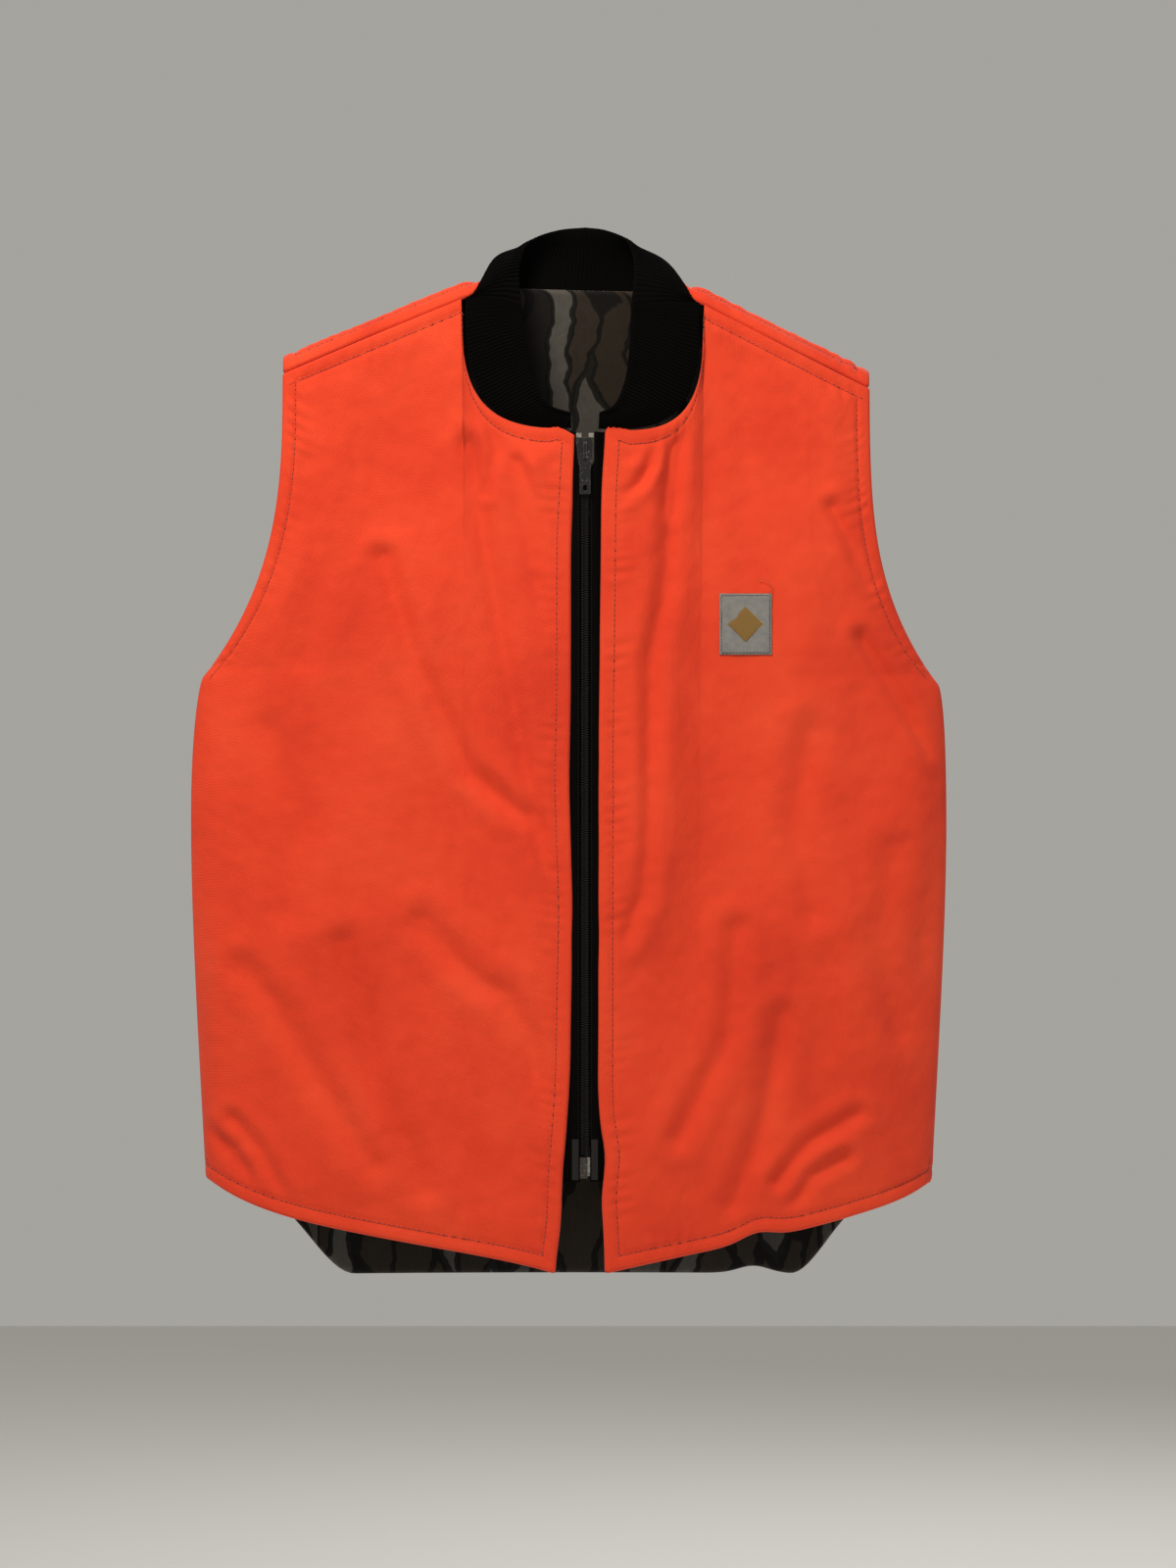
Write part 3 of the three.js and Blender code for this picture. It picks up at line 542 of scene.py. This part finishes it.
def settle(points, folds, seed, side_seams):
    """How far the shell stands off its flat shape: creases, slow and quick unevenness, and the
    groove and gathers along each stitched edge. Side seams below the armpit aren't topstitched."""
    x, z = points[..., 0], points[..., 2]
    distances = list(edge_distance(points))
    nearest = np.minimum.reduce(distances)
    free = smooth(nearest, 4, 26)
    lift = creases(x, z, folds) * free
    lift += 1.5 * swell(x, z, 95, seed, 2.4) * free
    lift += 0.24 * swell(x, z, 34, seed + 5, 1.8) * free
    lift += 0.12 * swell(x, z, 13, seed + 9, 1.3) * smooth(nearest, 0, 12)
    for border in side_seams:
        distances[border] = distances[border] + 60 * (1 - smooth(z, ARMPIT_Z - 15, ARMPIT_Z + 15))
    sewn = np.minimum.reduce(distances)
    lift -= GROOVE * np.exp(-((sewn - STITCH_IN) / 1.5) ** 2)
    upright = np.minimum(*distances[:2]) < np.minimum(*distances[2:])
    along = np.where(upright, distances[2], distances[0])
    lift += GATHER * puckers(along, sewn - STITCH_IN, 9.5, 11, seed + 20) * smooth(nearest, 0, 3)
    return np.clip(lift, -3.6, 5.0)


SIDES = {"left": 1, "right": -1, "back": 0}


def move_with(piece, name):
    """The back's cloth rides on the body. A front's keeps its place, with its transform baked into its
    mesh."""
    side = SIDES[name]
    if side:
        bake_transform(piece)
    else:
        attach(piece, "body")


def stand_for(piece, name, layer):
    """Hides the solids of the frame that a layer of the left, right or back takes the place of, and moves
    the layer with its side.
    """
    nodes = [f"{name}_side_{layer}", f"{name}_front_{layer}"] if SIDES[name] else [f"back_{layer}"]
    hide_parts(*nodes)
    move_with(piece, name)


def cloth_piece(name, points, material, thickness):
    """A sheet of cloth from a grid, with its thickness in millimetres inwards from its face."""
    piece = quad_piece(name, points.reshape(-1, 3), grid_quads(points)[1], cloth_map(points), material)
    solid = piece.modifiers.new("cloth_thickness", "SOLIDIFY")
    solid.thickness, solid.offset = thickness * MM, -1
    return piece


shells = {}
for name, label, folds, seed, seams, flat, area in (
        ("left", "left_shell", LEFT_FOLDS, 11, (1,), (0.255, 0.68), 0.148),
        ("right", "right_shell", RIGHT_FOLDS, 23, (0,), (0.255, 0.68), 0.148),
        ("back", "back_shell_cloth", BACK_FOLDS, 37, (0, 1), (0.54, 0.70), 0.335)):
    middle_grid = front_surface(SIDES[name], WALL / 2) if SIDES[name] else back_surface(WALL / 2)
    lift = settle(middle_grid, folds, seed, seams)
    shells[name] = (middle_grid, lift)
    shell = cloth_piece(label, wrap_edges(middle_grid, lift), orange_twill, 0.6)
    stand_for(shell, name, "shell")


# -------------------- topstitching
# Orange polyester thread, one row along every turned edge. Each stitch is a small capsule
# that dips at both ends into its needle hole.
def capsules(name, place, along, up, half_size, material):
    """One mesh of many small rounded rods: each is a ring profile (radius = (1 - t^4)^(1/2)
    along t from -1 to 1) scaled by half_size and turned to its own along and up directions."""
    sides = 6
    t = np.array([-0.92, -0.55, 0.0, 0.55, 0.92])
    turn = np.arange(sides) / sides * 2 * np.pi
    radius = np.sqrt(1 - t ** 4)[:, None]
    rings = np.stack(np.broadcast_arrays(t[:, None], radius * np.cos(turn), radius * np.sin(turn)), -1)
    local = np.concatenate([rings.reshape(-1, 3), [[-1, 0, 0], [1, 0, 0]]]) * np.array(half_size)
    across = np.cross(up, along)
    frame_of = np.stack([along, across, up], 1)
    vertices = place[:, None] + np.einsum("vk,nkc->nvc", local, frame_of)
    ring, spot = np.meshgrid(np.arange(len(t) - 1), np.arange(sides), indexing="ij")
    after = (spot + 1) % sides
    quads = np.stack([ring * sides + spot, (ring + 1) * sides + spot, (ring + 1) * sides + after,
                      ring * sides + after], -1).reshape(-1, 4)[:, ::-1]
    first, last, top = len(t) * sides, len(t) * sides + 1, (len(t) - 1) * sides
    around, onward = np.arange(sides), (np.arange(sides) + 1) % sides
    caps = np.concatenate([np.stack([np.full(sides, first), around, onward], -1)[:, ::-1],
                           np.stack([np.full(sides, last), top + onward, top + around], -1)[:, ::-1]])
    shift = np.arange(len(place))[:, None, None] * len(local)
    faces = (quads[None] + shift).reshape(-1, 4).tolist() + (caps[None] + shift).reshape(-1, 3).tolist()
    mesh = bpy.data.meshes.new(name)
    mesh.from_pydata((vertices.reshape(-1, 3) * MM).tolist(), [], faces)
    return new_piece(name, mesh, material)


def edge_track(points, lift, border, inset):
    """Where a line at an inset from one border runs on the outer face: its points and normals.
    Borders are 0 first column, 1 last column, 2 first row, 3 last row."""
    distance = edge_distance(points)[border]
    normal = outward(points)
    face = points + normal * (EDGE_ROLL + lift)[..., None]
    if border > 1:
        distance, face, normal = distance.T, face.transpose(1, 0, 2), normal.transpose(1, 0, 2)
    if border % 2:
        distance, face, normal = distance[:, ::-1], face[:, ::-1], normal[:, ::-1]
    after = np.clip(np.sum(distance < inset, 1), 1, distance.shape[1] - 1)
    line = np.arange(len(distance))
    before = after - 1
    step = np.maximum(distance[line, after] - distance[line, before], 1e-6)
    share = np.clip((inset - distance[line, before]) / step, 0, 1)[:, None]
    return tuple(mix(grid[line, before], grid[line, after], share) for grid in (face, normal))


def resample(track, normals, pitch, margin=1.0):
    """Even stations along a track, a pitch apart and a margin from its ends: their positions,
    directions and normals."""
    length = np.concatenate([[0], np.cumsum(np.linalg.norm(np.diff(track, axis=0), axis=-1))])
    at = np.arange(margin, length[-1] - margin, pitch)
    even = np.stack([np.interp(at, length, track[:, k]) for k in range(3)], -1)
    up = np.stack([np.interp(at, length, normals[:, k]) for k in range(3)], -1)
    along = np.gradient(even, axis=0)
    along /= np.linalg.norm(along, axis=-1, keepdims=True)
    up -= along * np.sum(up * along, -1, keepdims=True)
    up /= np.linalg.norm(up, axis=-1, keepdims=True)
    return even, along, up


def flecked(name, roughness, dark, light, scale, detail=2.0, on="Object", **sockets):
    """A material whose colour wanders between two tones, by a noise on the object's place or on
    its cloth, with flecks of about 1 / scale metres."""
    material = new_material(name, roughness, **sockets)
    place = (add_node(material, "TexCoord") if on == "Object" else
             add_node(material, "UVMap", {"uv_map": on}))
    noise = add_node(material, "TexNoise", None,
                     {"Vector": place.outputs["Object" if on == "Object" else "UV"],
                      "Scale": scale, "Detail": detail})
    colour = add_node(material, "ValToRGB", None, {"Fac": noise}, ((0.3, dark), (0.7, light)))
    shade(material, {"Base Color": colour})
    return material


orange_thread = flecked("orange_polyester_thread", 0.5, "#982714", "#b93a20", 260.0, Sheen_Weight=0.3)
# The needle holes are dark orange capsules sunk between the stitches: painted shade in the holes.
needle_hole = flecked("shadowed_needle_hole", 0.9, "#4a130a", "#7c2413", 300.0)
STITCH_PITCH, HOLE_SINK, SIDE_SEAM_X, HEM_CORNER_SEAM = 3.4, 0.05, 175, 74
for name in SIDES:
    rows = [resample(*edge_track(*shells[name], border, STITCH_IN), STITCH_PITCH, STITCH_IN)
            for border in range(4)]
    place, along, up = (np.concatenate([row[k] for row in rows]) for k in range(3))
    # A side seam below the armpit isn't topstitched, but for a front's last stretch by the hem.
    kept = (np.abs(place[:, 0]) < SIDE_SEAM_X) | (place[:, 2] > ARMPIT_Z)
    if SIDES[name]:
        kept = kept | (place[:, 2] < FRONT_HEM_Z + HEM_CORNER_SEAM)
    place, along, up = place[kept], along[kept], up[kept]
    between = place + along * STITCH_PITCH / 2 - HOLE_SINK * up
    for label, at, size, material in (
            ("topstitching_needle_holes", between, (0.5, 0.42, 0.25), needle_hole),
            ("topstitching", place, (1.2, 0.38, 0.36), orange_thread)):
        sewn = capsules(f"{name}_{label}", at, along, up, size, material)
        move_with(sewn, name)

# -------------------- padding
# Thin polyester wadding lies loose between shell and lining and is caught in every edge seam.
# It follows the shell's creases, and is squeezed where they are deep.
BELOW_SHELL, ABOVE_LINING, LINING_SLACK, FREE_CREASE = 1.9, 0.7, 0.15, 1.5


def lining_offset(lift):
    """The lining's face, measured from the wall's middle: pushed in where a crease is deep."""
    return -(EDGE_ROLL + LINING_SLACK) + np.minimum(lift + FREE_CREASE, 0)


def closed_layer(name, top, bottom, material, uv=None):
    """A closed body between two grids of the same size: both faces and a rim round them."""
    index, quads = grid_quads(top)
    ring = np.concatenate([index[0, :-1], index[:-1, -1], index[-1, :0:-1], index[:0:-1, 0]])
    onward = np.roll(ring, -1)
    rim = np.stack([ring, ring + index.size, onward + index.size, onward], -1)
    faces = np.concatenate([quads, quads[:, ::-1] + index.size, rim])
    points = np.concatenate([top.reshape(-1, 3), bottom.reshape(-1, 3)])
    return quad_piece(name, points, faces, np.stack([cloth_map(top) if uv is None else uv] * 2), material)


wadding = flecked("polyester_wadding", 0.95, "#dcdad4", "#f1efe9", 400.0, 6.0, "cloth", Sheen_Weight=0.4)
inner = (slice(3, -3, 2), slice(3, -3, 2))
for name, (middle_grid, lift) in shells.items():
    normal = outward(middle_grid)
    top = middle_grid + normal * (EDGE_ROLL - BELOW_SHELL + lift)[..., None]
    bottom = middle_grid + normal * (lining_offset(lift) + ABOVE_LINING)[..., None]
    padding = closed_layer(f"{name}_wadding", top[inner], bottom[inner], wadding)
    stand_for(padding, name, "padding")

# -------------------- camouflage lining
# The inside is printed cotton in tree-bark camouflage: tall leaning shapes of light grey,
# brown-grey and near-black with dark outlines. It is sewn in along the turned edges.
tree_bark = new_material("tree_bark_camouflage", 0.88, Sheen_Weight=0.15, Specular_IOR_Level=0.2)
# Tall cells about 22 by 90 mm with wandering edges, each brown, grey or dark, and near-black
# outlines about 4 mm wide between them.
bark_uv = add_node(tree_bark, "UVMap", {"uv_map": "cloth"})
drift = add_node(tree_bark, "TexNoise", None, {"Vector": bark_uv, "Scale": 26.0, "Detail": 3.0})
wander = add_node(tree_bark, "VectorMath", {"operation": "MULTIPLY_ADD"},
                  {0: drift.outputs["Color"], 1: (0.026, 0.05, 0), 2: bark_uv})
tall = add_node(tree_bark, "Mapping", None,
                {"Vector": wander, "Rotation": (0, 0, 0.08), "Scale": (1.0, 0.24, 1.0)})
cells, edges = (add_node(tree_bark, "TexVoronoi", {"voronoi_dimensions": "2D", "feature": feature},
                         {"Vector": tall, "Scale": 46.0}) for feature in ("F1", "DISTANCE_TO_EDGE"))
chance = add_node(tree_bark, "SeparateColor", None, {"Color": cells.outputs["Color"]})
# These tones are about a third as bright as the print's own: painted shade for the vest's dim inside and
# tail.
tones = add_node(tree_bark, "ValToRGB", None, {"Fac": chance},
                 ((0.0, "#080707"), (0.18, "#272019"), (0.64, "#2f2821"), (0.66, "#413f3c"),
                  (1.0, "#504e4a")))
grain = add_node(tree_bark, "TexNoise", None,
                 {"Vector": tall, "Scale": 300.0, "Detail": 4.0, "Roughness": 0.6})
weathered = add_node(tree_bark, "MapRange", None, {"Value": grain, "To Min": 0.7, "To Max": 1.25})
outline = add_node(tree_bark, "MapRange", None,
                   {"Value": edges.outputs["Distance"], "From Min": 0.075, "From Max": 0.09,
                    "To Min": 0.1, "To Max": 1.0})
dark = add_node(tree_bark, "Math", {"operation": "MULTIPLY"}, {0: weathered, 1: outline})
printed = add_node(tree_bark, "Mix", {"data_type": "RGBA", "blend_type": "MULTIPLY"},
                   {"Factor": 1.0, 6: tones, 7: dark})
crumple = add_node(tree_bark, "TexNoise", None, {"Vector": bark_uv, "Scale": 60.0, "Detail": 6.0})
bump = add_node(tree_bark, "Bump", None, {"Height": crumple, "Distance": 2.5 * MM, "Strength": 0.5})
shade(tree_bark, {"Base Color": printed.outputs[2], "Normal": bump})

for name, flat, area in (("left", (0.25, 0.67), 0.14), ("right", (0.25, 0.67), 0.14),
                        ("back", (0.53, 0.69), 0.32)):
    middle_grid, lift = shells[name]
    sag = -(lining_offset(lift) + EDGE_ROLL)
    inside = wrap_edges(middle_grid[:, ::-1], sag[:, ::-1])
    lining = cloth_piece(f"{name}_lining_cloth", inside, tree_bark, 0.5)
    stand_for(lining, name, "lining")

# -------------------- rib-knit collar
# A stand collar of black rib knit, doubled over and sewn into the neck seam. It sags inwards
# on the hanger, with its rolled top edge a little to the wearer's right.
FREE_EDGE = np.array([(9.5, -25, -86), (22, -24, -80), (31, -20, -63), (35, -14, -42), (37, -6, -14),
                      (39, 6, 12), (32, 18, 32), (15, 24, 41), (0, 25, 43)], float)
RIB_PITCH, RIB_DEPTH, BAND_HALF = 2.4, 0.38, 1.25
SEAM_SHARE = 0.03  # of the band's height lies inside the neck seam


def spline(points, t):
    """A smooth curve through points spaced evenly in t, by uniform Catmull-Rom."""
    padded_points = np.concatenate([points[:1] * 2 - points[1:2], points, points[-1:] * 2 - points[-2:-1]])
    at = np.clip(t, 0, 1) * (len(points) - 1)
    i = np.minimum(at.astype(int), len(points) - 2)
    f = (at - i)[:, None]
    a, b, c, d = (padded_points[i + k] for k in range(4))
    square, cube = 2 * a - 5 * b + 4 * c - d, 3 * b - a - 3 * c + d
    return 0.5 * (2 * b + (c - a) * f + square * f ** 2 + cube * f ** 3)


def neck_seam(t):
    """The seam from the zipper (0) to the shoulder (0.5) along the neckline, and on to the nape
    (1), where its half width is a cosine and its depth and height follow the back's roll."""
    x, z = neckline(2 * t)
    y = WALL / 2 - front_depth(z) - BELLY * (1 - (x / FOLD) ** 2) ** 2
    back_x = NECK * np.cos((t - 0.5) * np.pi)
    over, radius = crossing(back_x), ROLL - WALL / 2
    back_y = NAPE_DEPTH * (1 - over) + radius * np.cos(np.pi * over)
    back_z = seam_z(NECK) * over + radius * np.sin(np.pi * over) - EDGE_ROLL * (1 - over)
    return np.where((t <= 0.5)[:, None], np.stack([x, y, z], -1), np.stack([back_x, back_y, back_z], -1))


rib_knit = new_material("black_rib_knit", 0.95, Sheen_Weight=0.008, Sheen_Roughness=0.7,
                        Specular_IOR_Level=0.03)
knit_uv = add_node(rib_knit, "UVMap", {"uv_map": "cloth"})
fuzz = add_node(rib_knit, "TexNoise", None,
                {"Vector": knit_uv, "Scale": 700.0, "Detail": 6.0, "Roughness": 0.7})
knit_rows = add_node(rib_knit, "TexWave", {"bands_direction": "Y"},
                     {"Vector": knit_uv, "Scale": wave_scale(1.5), "Distortion": 2.5,
                      "Detail": 3.0})
height = add_node(rib_knit, "Mix", {"data_type": "FLOAT"},
                  {"Factor": 0.5, "A": knit_rows.outputs["Fac"], "B": fuzz})
bump = add_node(rib_knit, "Bump", None, {"Height": height, "Distance": 0.5 * MM, "Strength": 0.8})
black = add_node(rib_knit, "ValToRGB", None, {"Fac": fuzz}, ((0.3, "#010101"), (0.75, "#060606")))
shade(rib_knit, {"Base Color": black, "Normal": bump})

for name, nodes in (("left", ("left_collar_front", "collar_back")), ("right", ("right_collar_front",))):
    side = SIDES[name]
    t = np.linspace(0, 1, 820)
    seam, free = neck_seam(t), spline(FREE_EDGE, t)
    past_nape = 0.5 * smooth(t, 0.985, 1)
    seam[:, 0] = side * (seam[:, 0] - past_nape)
    free[:, 0] = side * (free[:, 0] - past_nape) - 6 * np.sin(np.pi * t)
    seam = hang_askew(seam)
    steps = np.linalg.norm(np.diff(0.5 * (seam + free), axis=0), axis=-1)
    length = np.concatenate([[0], np.cumsum(steps)])
    slump = 2.6 + 5 * smooth(t, 0.42, 0.6) * (1 - smooth(t, 0.8, 1))
    up = np.linspace(SEAM_SHARE, 1, 26)[:, None]
    band = mix(seam[None], free[None], up[..., None])
    if side < 0:
        band, length, slump = band[:, ::-1], length[-1] - length[::-1], slump[::-1]
    wave = swell(length, length * 0, 60, 5)
    bow = slump * np.sin(np.pi * up) + wave * smooth(up, 0, 0.6) + 1.6 * smooth(up, 0.82, 1.0)
    wander = 0.25 * swell(up * 60 + length * 0.2, length[None] * 0, 30, 9)
    rib = RIB_DEPTH * np.cos(2 * np.pi * (length + wander) / RIB_PITCH)
    normal = outward(band)
    band = band + normal * bow[..., None]
    round_top = np.clip(1 - np.clip((up - 0.94) / 0.06, 0, 1) ** 2, 0.03, 1)
    half = (BAND_HALF * np.sqrt(round_top) + rib)[..., None]
    knit_map = np.stack(np.broadcast_arrays(length * MM, up * 0.05), -1)
    collar = closed_layer(f"{name}_collar_knit", band + normal * half, band - normal * half, rib_knit,
                          knit_map)
    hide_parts(*nodes)
    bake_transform(collar)

# -------------------- zipper
# A separating zipper: black woven tapes with a moulded nylon coil along the inner edge of each.
# The tapes are sewn in behind the front edges and lean back at the top with the chest.
ZIP_TOP = np.array([0.0, -24.3236, -99.0])
ZIP_LEAN = math.atan2(39, 652)
TAPE_LENGTH, TAPE_INNER, TAPE_OUTER, TAPE_HALF = 501, 3.4, 20, 0.4
CHAIN_START, CHAIN_END, COIL_PITCH, SEAM_PITCH = 22.8, 484.4, 1.6, 2.2
COIL_SLANT = math.radians(16)


def zip_point(x, y, z):
    """A point of the zipper, from its own upright axes to the vest's, by its lean about X."""
    c, s = math.cos(ZIP_LEAN), math.sin(ZIP_LEAN)
    x, y, z = np.broadcast_arrays(x, y, z)
    return ZIP_TOP + np.stack([x, c * y + s * z, c * z - s * y], -1)


black_tape = twill_material("black_zipper_tape", ((0.3, "#020202"), (0.7, "#060505")),
                            thread_mm=0.6, bump_mm=0.2, roughness=0.85, sheen=0.0, specular=0.06)
nylon = flecked("moulded_black_nylon", 0.5, "#020202", "#070606", 900.0, Specular_IOR_Level=0.2)
for name, side in (("left", 1), ("right", -1)):
    down = np.linspace(-TAPE_LENGTH, 0, 180)[:, None]
    inner = TAPE_INNER + 2.7 * smooth(down, -24, -21)
    x = mix(inner, TAPE_OUTER, np.linspace(0, 1, 18)[None, :])
    ripple = 0.3 * swell(down + 0 * x, x, 45, 61) * smooth(x, 4, 7)
    behind = 3.4 * smooth(x, 7, 13) + ripple
    top, bottom = (zip_point(side * x, face + behind, down)[:, ::side] for face in (-TAPE_HALF, TAPE_HALF))
    tape = closed_layer(f"{name}_tape_cloth", top, bottom, black_tape)
    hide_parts(f"{name}_zipper_tape")
    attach(tape, f"{name}_front")
    facing = np.array([0, -math.cos(ZIP_LEAN), math.sin(ZIP_LEAN)])
    tooth = np.array([side * math.cos(COIL_SLANT), 0, math.sin(COIL_SLANT)])
    thread = np.array([0, math.sin(ZIP_LEAN), math.cos(ZIP_LEAN)])
    start = CHAIN_START + (COIL_PITCH / 2 if side < 0 else 0)
    for label, x, y, down, along, size in (
            ("coil", 1.15, -0.2, -np.arange(start, CHAIN_END, COIL_PITCH), tooth, (1.9, 0.62, 0.95)),
            ("coil_seam", 4.4, -0.5, -np.arange(CHAIN_START, CHAIN_END, SEAM_PITCH), thread,
             (0.95, 0.26, 0.22))):
        row = capsules(f"{name}_{label}", zip_point(side * x, y, down), *np.broadcast_arrays(
            along[None], facing[None], down[:, None])[:2], size, nylon)
        if label == "coil":
            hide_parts(f"{name}_chain")
        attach(row, f"{name}_front")

# -------------------- zipper hardware
# The slider and its pull are black enamel over zinc, scratched through to metal in small patches, and
# light metal along every edge as a painted highlight. The stops, pin and box are bare metal with the same
# painted edge highlight, and a clear film stiffens each tape's end.
def metal_with_wear_and_edge_highlights(name, paint, metal, metal_share, roughness):
    """Paint over metal: small scratches show the metal, and the edges, where the rounded and the true
    normal part, show it too as a painted highlight."""
    material = new_material(name, roughness)
    place = add_node(material, "TexCoord").outputs["Object"]
    patches = add_node(material, "TexNoise", None,
                       {"Vector": place, "Scale": 420.0, "Detail": 6.0, "Roughness": 0.7})
    rounded = add_node(material, "Bevel", {"samples": 6}, {"Radius": 0.35 * MM})
    straight = add_node(material, "NewGeometry")
    off_edge = add_node(material, "VectorMath", {"operation": "DOT_PRODUCT"},
                        {0: rounded, 1: straight.outputs["Normal"]})
    # Metal shows in the scratch patches, which are wear, and along every edge, which is a painted
    # highlight.
    scratches_and_edge_highlights = add_node(material, "Math", {"operation": "SUBTRACT"},
                      {0: patches, 1: off_edge.outputs["Value"]})
    bare_metal_and_highlight = add_node(material, "MapRange", None,
                     {"Value": scratches_and_edge_highlights, "From Min": metal_share - 1, "From Max": metal_share - 0.94})
    colour = add_node(material, "Mix", {"data_type": "RGBA"},
                      {"Factor": bare_metal_and_highlight, 6: linear(paint), 7: linear(metal)})
    bump = add_node(material, "Bump", None, {"Height": patches, "Distance": 0.08 * MM, "Strength": 0.4})
    shade(material, {"Base Color": colour.outputs[2], "Metallic": bare_metal_and_highlight, "Normal": bump})
    return material


enamel = metal_with_wear_and_edge_highlights("black_enamel_worn_and_edge_highlit", "#121112", "#a09c94", 0.60, 0.3)
zinc = metal_with_wear_and_edge_highlights("tarnished_zinc", "#57524b", "#b3afa6", 0.42, 0.36)
dark_zinc = metal_with_wear_and_edge_highlights("dark_box_metal", "#2f2a26", "#6c675f", 0.55, 0.4)
film = new_material("clear_tape_film", 0.16, Transmission_Weight=0.4, IOR=1.48,
                    Base_Color=linear("#1c1716"))
for material, nodes in ((enamel, ("slider", "pull_tab")), (dark_zinc, ("retainer_box",)),
                        (zinc, ("left_top_stop", "right_top_stop", "insertion_pin")),
                        (film, ("left_tape_film", "right_tape_film"))):
    for node in nodes:
        bpy.data.objects[node].material_slots[0].material = material

# -------------------- chest patch
# A small woven grey label on the wearer's left, sewn down round its rim, with a plain ochre
# diamond in satin stitch in its middle. It follows the shell, but is stiffer.
PATCH_X, PATCH_Z, PATCH_WIDTH, PATCH_HEIGHT, RIM_IN, EMBLEM_HALF = 107.5, -228.0, 35, 41, 1.3, 12
NEARBY = 48  # the stretch of the shell about the label that its place is taken from
shell_grid, shell_lift = shells["left"]
shell_face = shell_grid + outward(shell_grid) * (EDGE_ROLL + shell_lift)[..., None]
near = np.hypot(shell_face[..., 0] - PATCH_X, shell_face[..., 2] - PATCH_Z) < NEARBY
near_points = shell_face[near]


def on_chest(x, z, height):
    """A point a height off the shell: the shell's depth there is a weighted mean of the
    nearby points, with a 3 mm Gaussian, which smooths the creases as a stiff label does."""
    d = (x[..., None] - near_points[:, 0]) ** 2 + (z[..., None] - near_points[:, 2]) ** 2
    weight = np.exp(-d / (2 * 3.0 ** 2))
    y = np.sum(weight * near_points[:, 1], -1) / np.sum(weight, -1)
    return np.stack([x, y - height, z], -1)


def thread_rows(material, across, pitch_mm, distortion, depth_mm, strength):
    """Rows of thread, raised by a wave across the cloth. Gives the wave's height."""
    cloth = add_node(material, "UVMap", {"uv_map": "cloth"})
    rows = add_node(material, "TexWave", {"bands_direction": across},
                    {"Vector": cloth, "Scale": wave_scale(pitch_mm), "Distortion": distortion})
    bump = add_node(material, "Bump", None, {"Height": rows.outputs["Fac"], "Distance": depth_mm * MM,
                                             "Strength": strength})
    shade(material, {"Normal": bump})
    return rows.outputs["Fac"]


woven_grey = flecked("woven_grey_label", 0.8, "#7b7c7c", "#8a8b89", 240.0, 5.0, "cloth", Sheen_Weight=0.2)
thread_rows(woven_grey, "Y", 0.7, 0.6, 0.25, 0.8)
u, v = np.meshgrid(np.linspace(-0.5, 0.5, 60), np.linspace(-0.5, 0.5, 70))
patch_x, patch_z = PATCH_X + u * PATCH_WIDTH, PATCH_Z + v * PATCH_HEIGHT
rim_x, rim_z = PATCH_WIDTH / 2 - RIM_IN, PATCH_HEIGHT / 2 - RIM_IN
rim = smooth(np.maximum(np.abs(u) * PATCH_WIDTH - rim_x, np.abs(v) * PATCH_HEIGHT - rim_z), -1.2, 0.6)
patch_height = 1.35 - 0.35 * rim + 0.15 * swell(patch_x, patch_z, 16, 71)
patch = closed_layer("woven_chest_patch", on_chest(patch_x, patch_z, patch_height),
                     on_chest(patch_x, patch_z, 0.15), woven_grey)
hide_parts("chest_patch")
move_with(patch, "left")

share = np.linspace(0, 4, 240)
track_x = np.interp(share, range(5), np.array([-1, 1, 1, -1, -1]) * rim_x + PATCH_X)
track_z = np.interp(share, range(5), np.array([-1, -1, 1, 1, -1]) * rim_z + PATCH_Z)
rim_track = on_chest(track_x, track_z, 1.25)
# One loose end of the sewing thread stands up from the label's upper corner.
loose_x, loose_z = np.array([(123.5, -208), (125.5, -204), (123, -200), (119, -198), (115.5, -198.5)]).T
loose_end = spline(on_chest(loose_x, loose_z, np.array([1.2, 1.9, 2.6, 2.2, 1.4])), np.linspace(0, 1, 40))
grey_thread = flecked("dark_grey_thread", 0.6, "#33302d", "#57534e", 500.0, Sheen_Weight=0.2)
for label, track, pitch, size, material in (
        ("patch_stitches", rim_track, 2.3, (0.95, 0.28, 0.28), grey_thread),
        ("patch_loose_thread", loose_end, 1.1, (0.75, 0.2, 0.2), orange_thread)):
    facing = np.broadcast_to([0.0, -1.0, 0.0], track.shape)
    sewn = capsules(label, *resample(track, facing, pitch), size, material)
    move_with(sewn, "left")

ochre = new_material("ochre_satin_stitch", 0.42, Sheen_Weight=0.3)
satin = thread_rows(ochre, "X", 0.45, 0.5, 0.2, 0.9)
# Its colour runs from dark brown in the grooves between the satin rows to ochre on their tops: the dark is
# painted shade.
shade(ochre, {"Base Color": add_node(ochre, "ValToRGB", None, {"Fac": satin},
                                     ((0.2, "#6a4e1c"), (0.8, "#a07a2c")))})
u, v = np.meshgrid(np.linspace(-0.5, 0.5, 40), np.linspace(-0.5, 0.5, 40))
emblem_x, emblem_z = PATCH_X + (u - v) * EMBLEM_HALF, PATCH_Z + (u + v) * EMBLEM_HALF
dome = 0.45 * (1 - (2 * np.maximum(np.abs(u), np.abs(v))) ** 4)
emblem = closed_layer("ochre_diamond", on_chest(emblem_x, emblem_z, 1.5 + dome),
                      on_chest(emblem_x, emblem_z, 1.2), ochre)
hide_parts("patch_emblem")
move_with(emblem, "left")
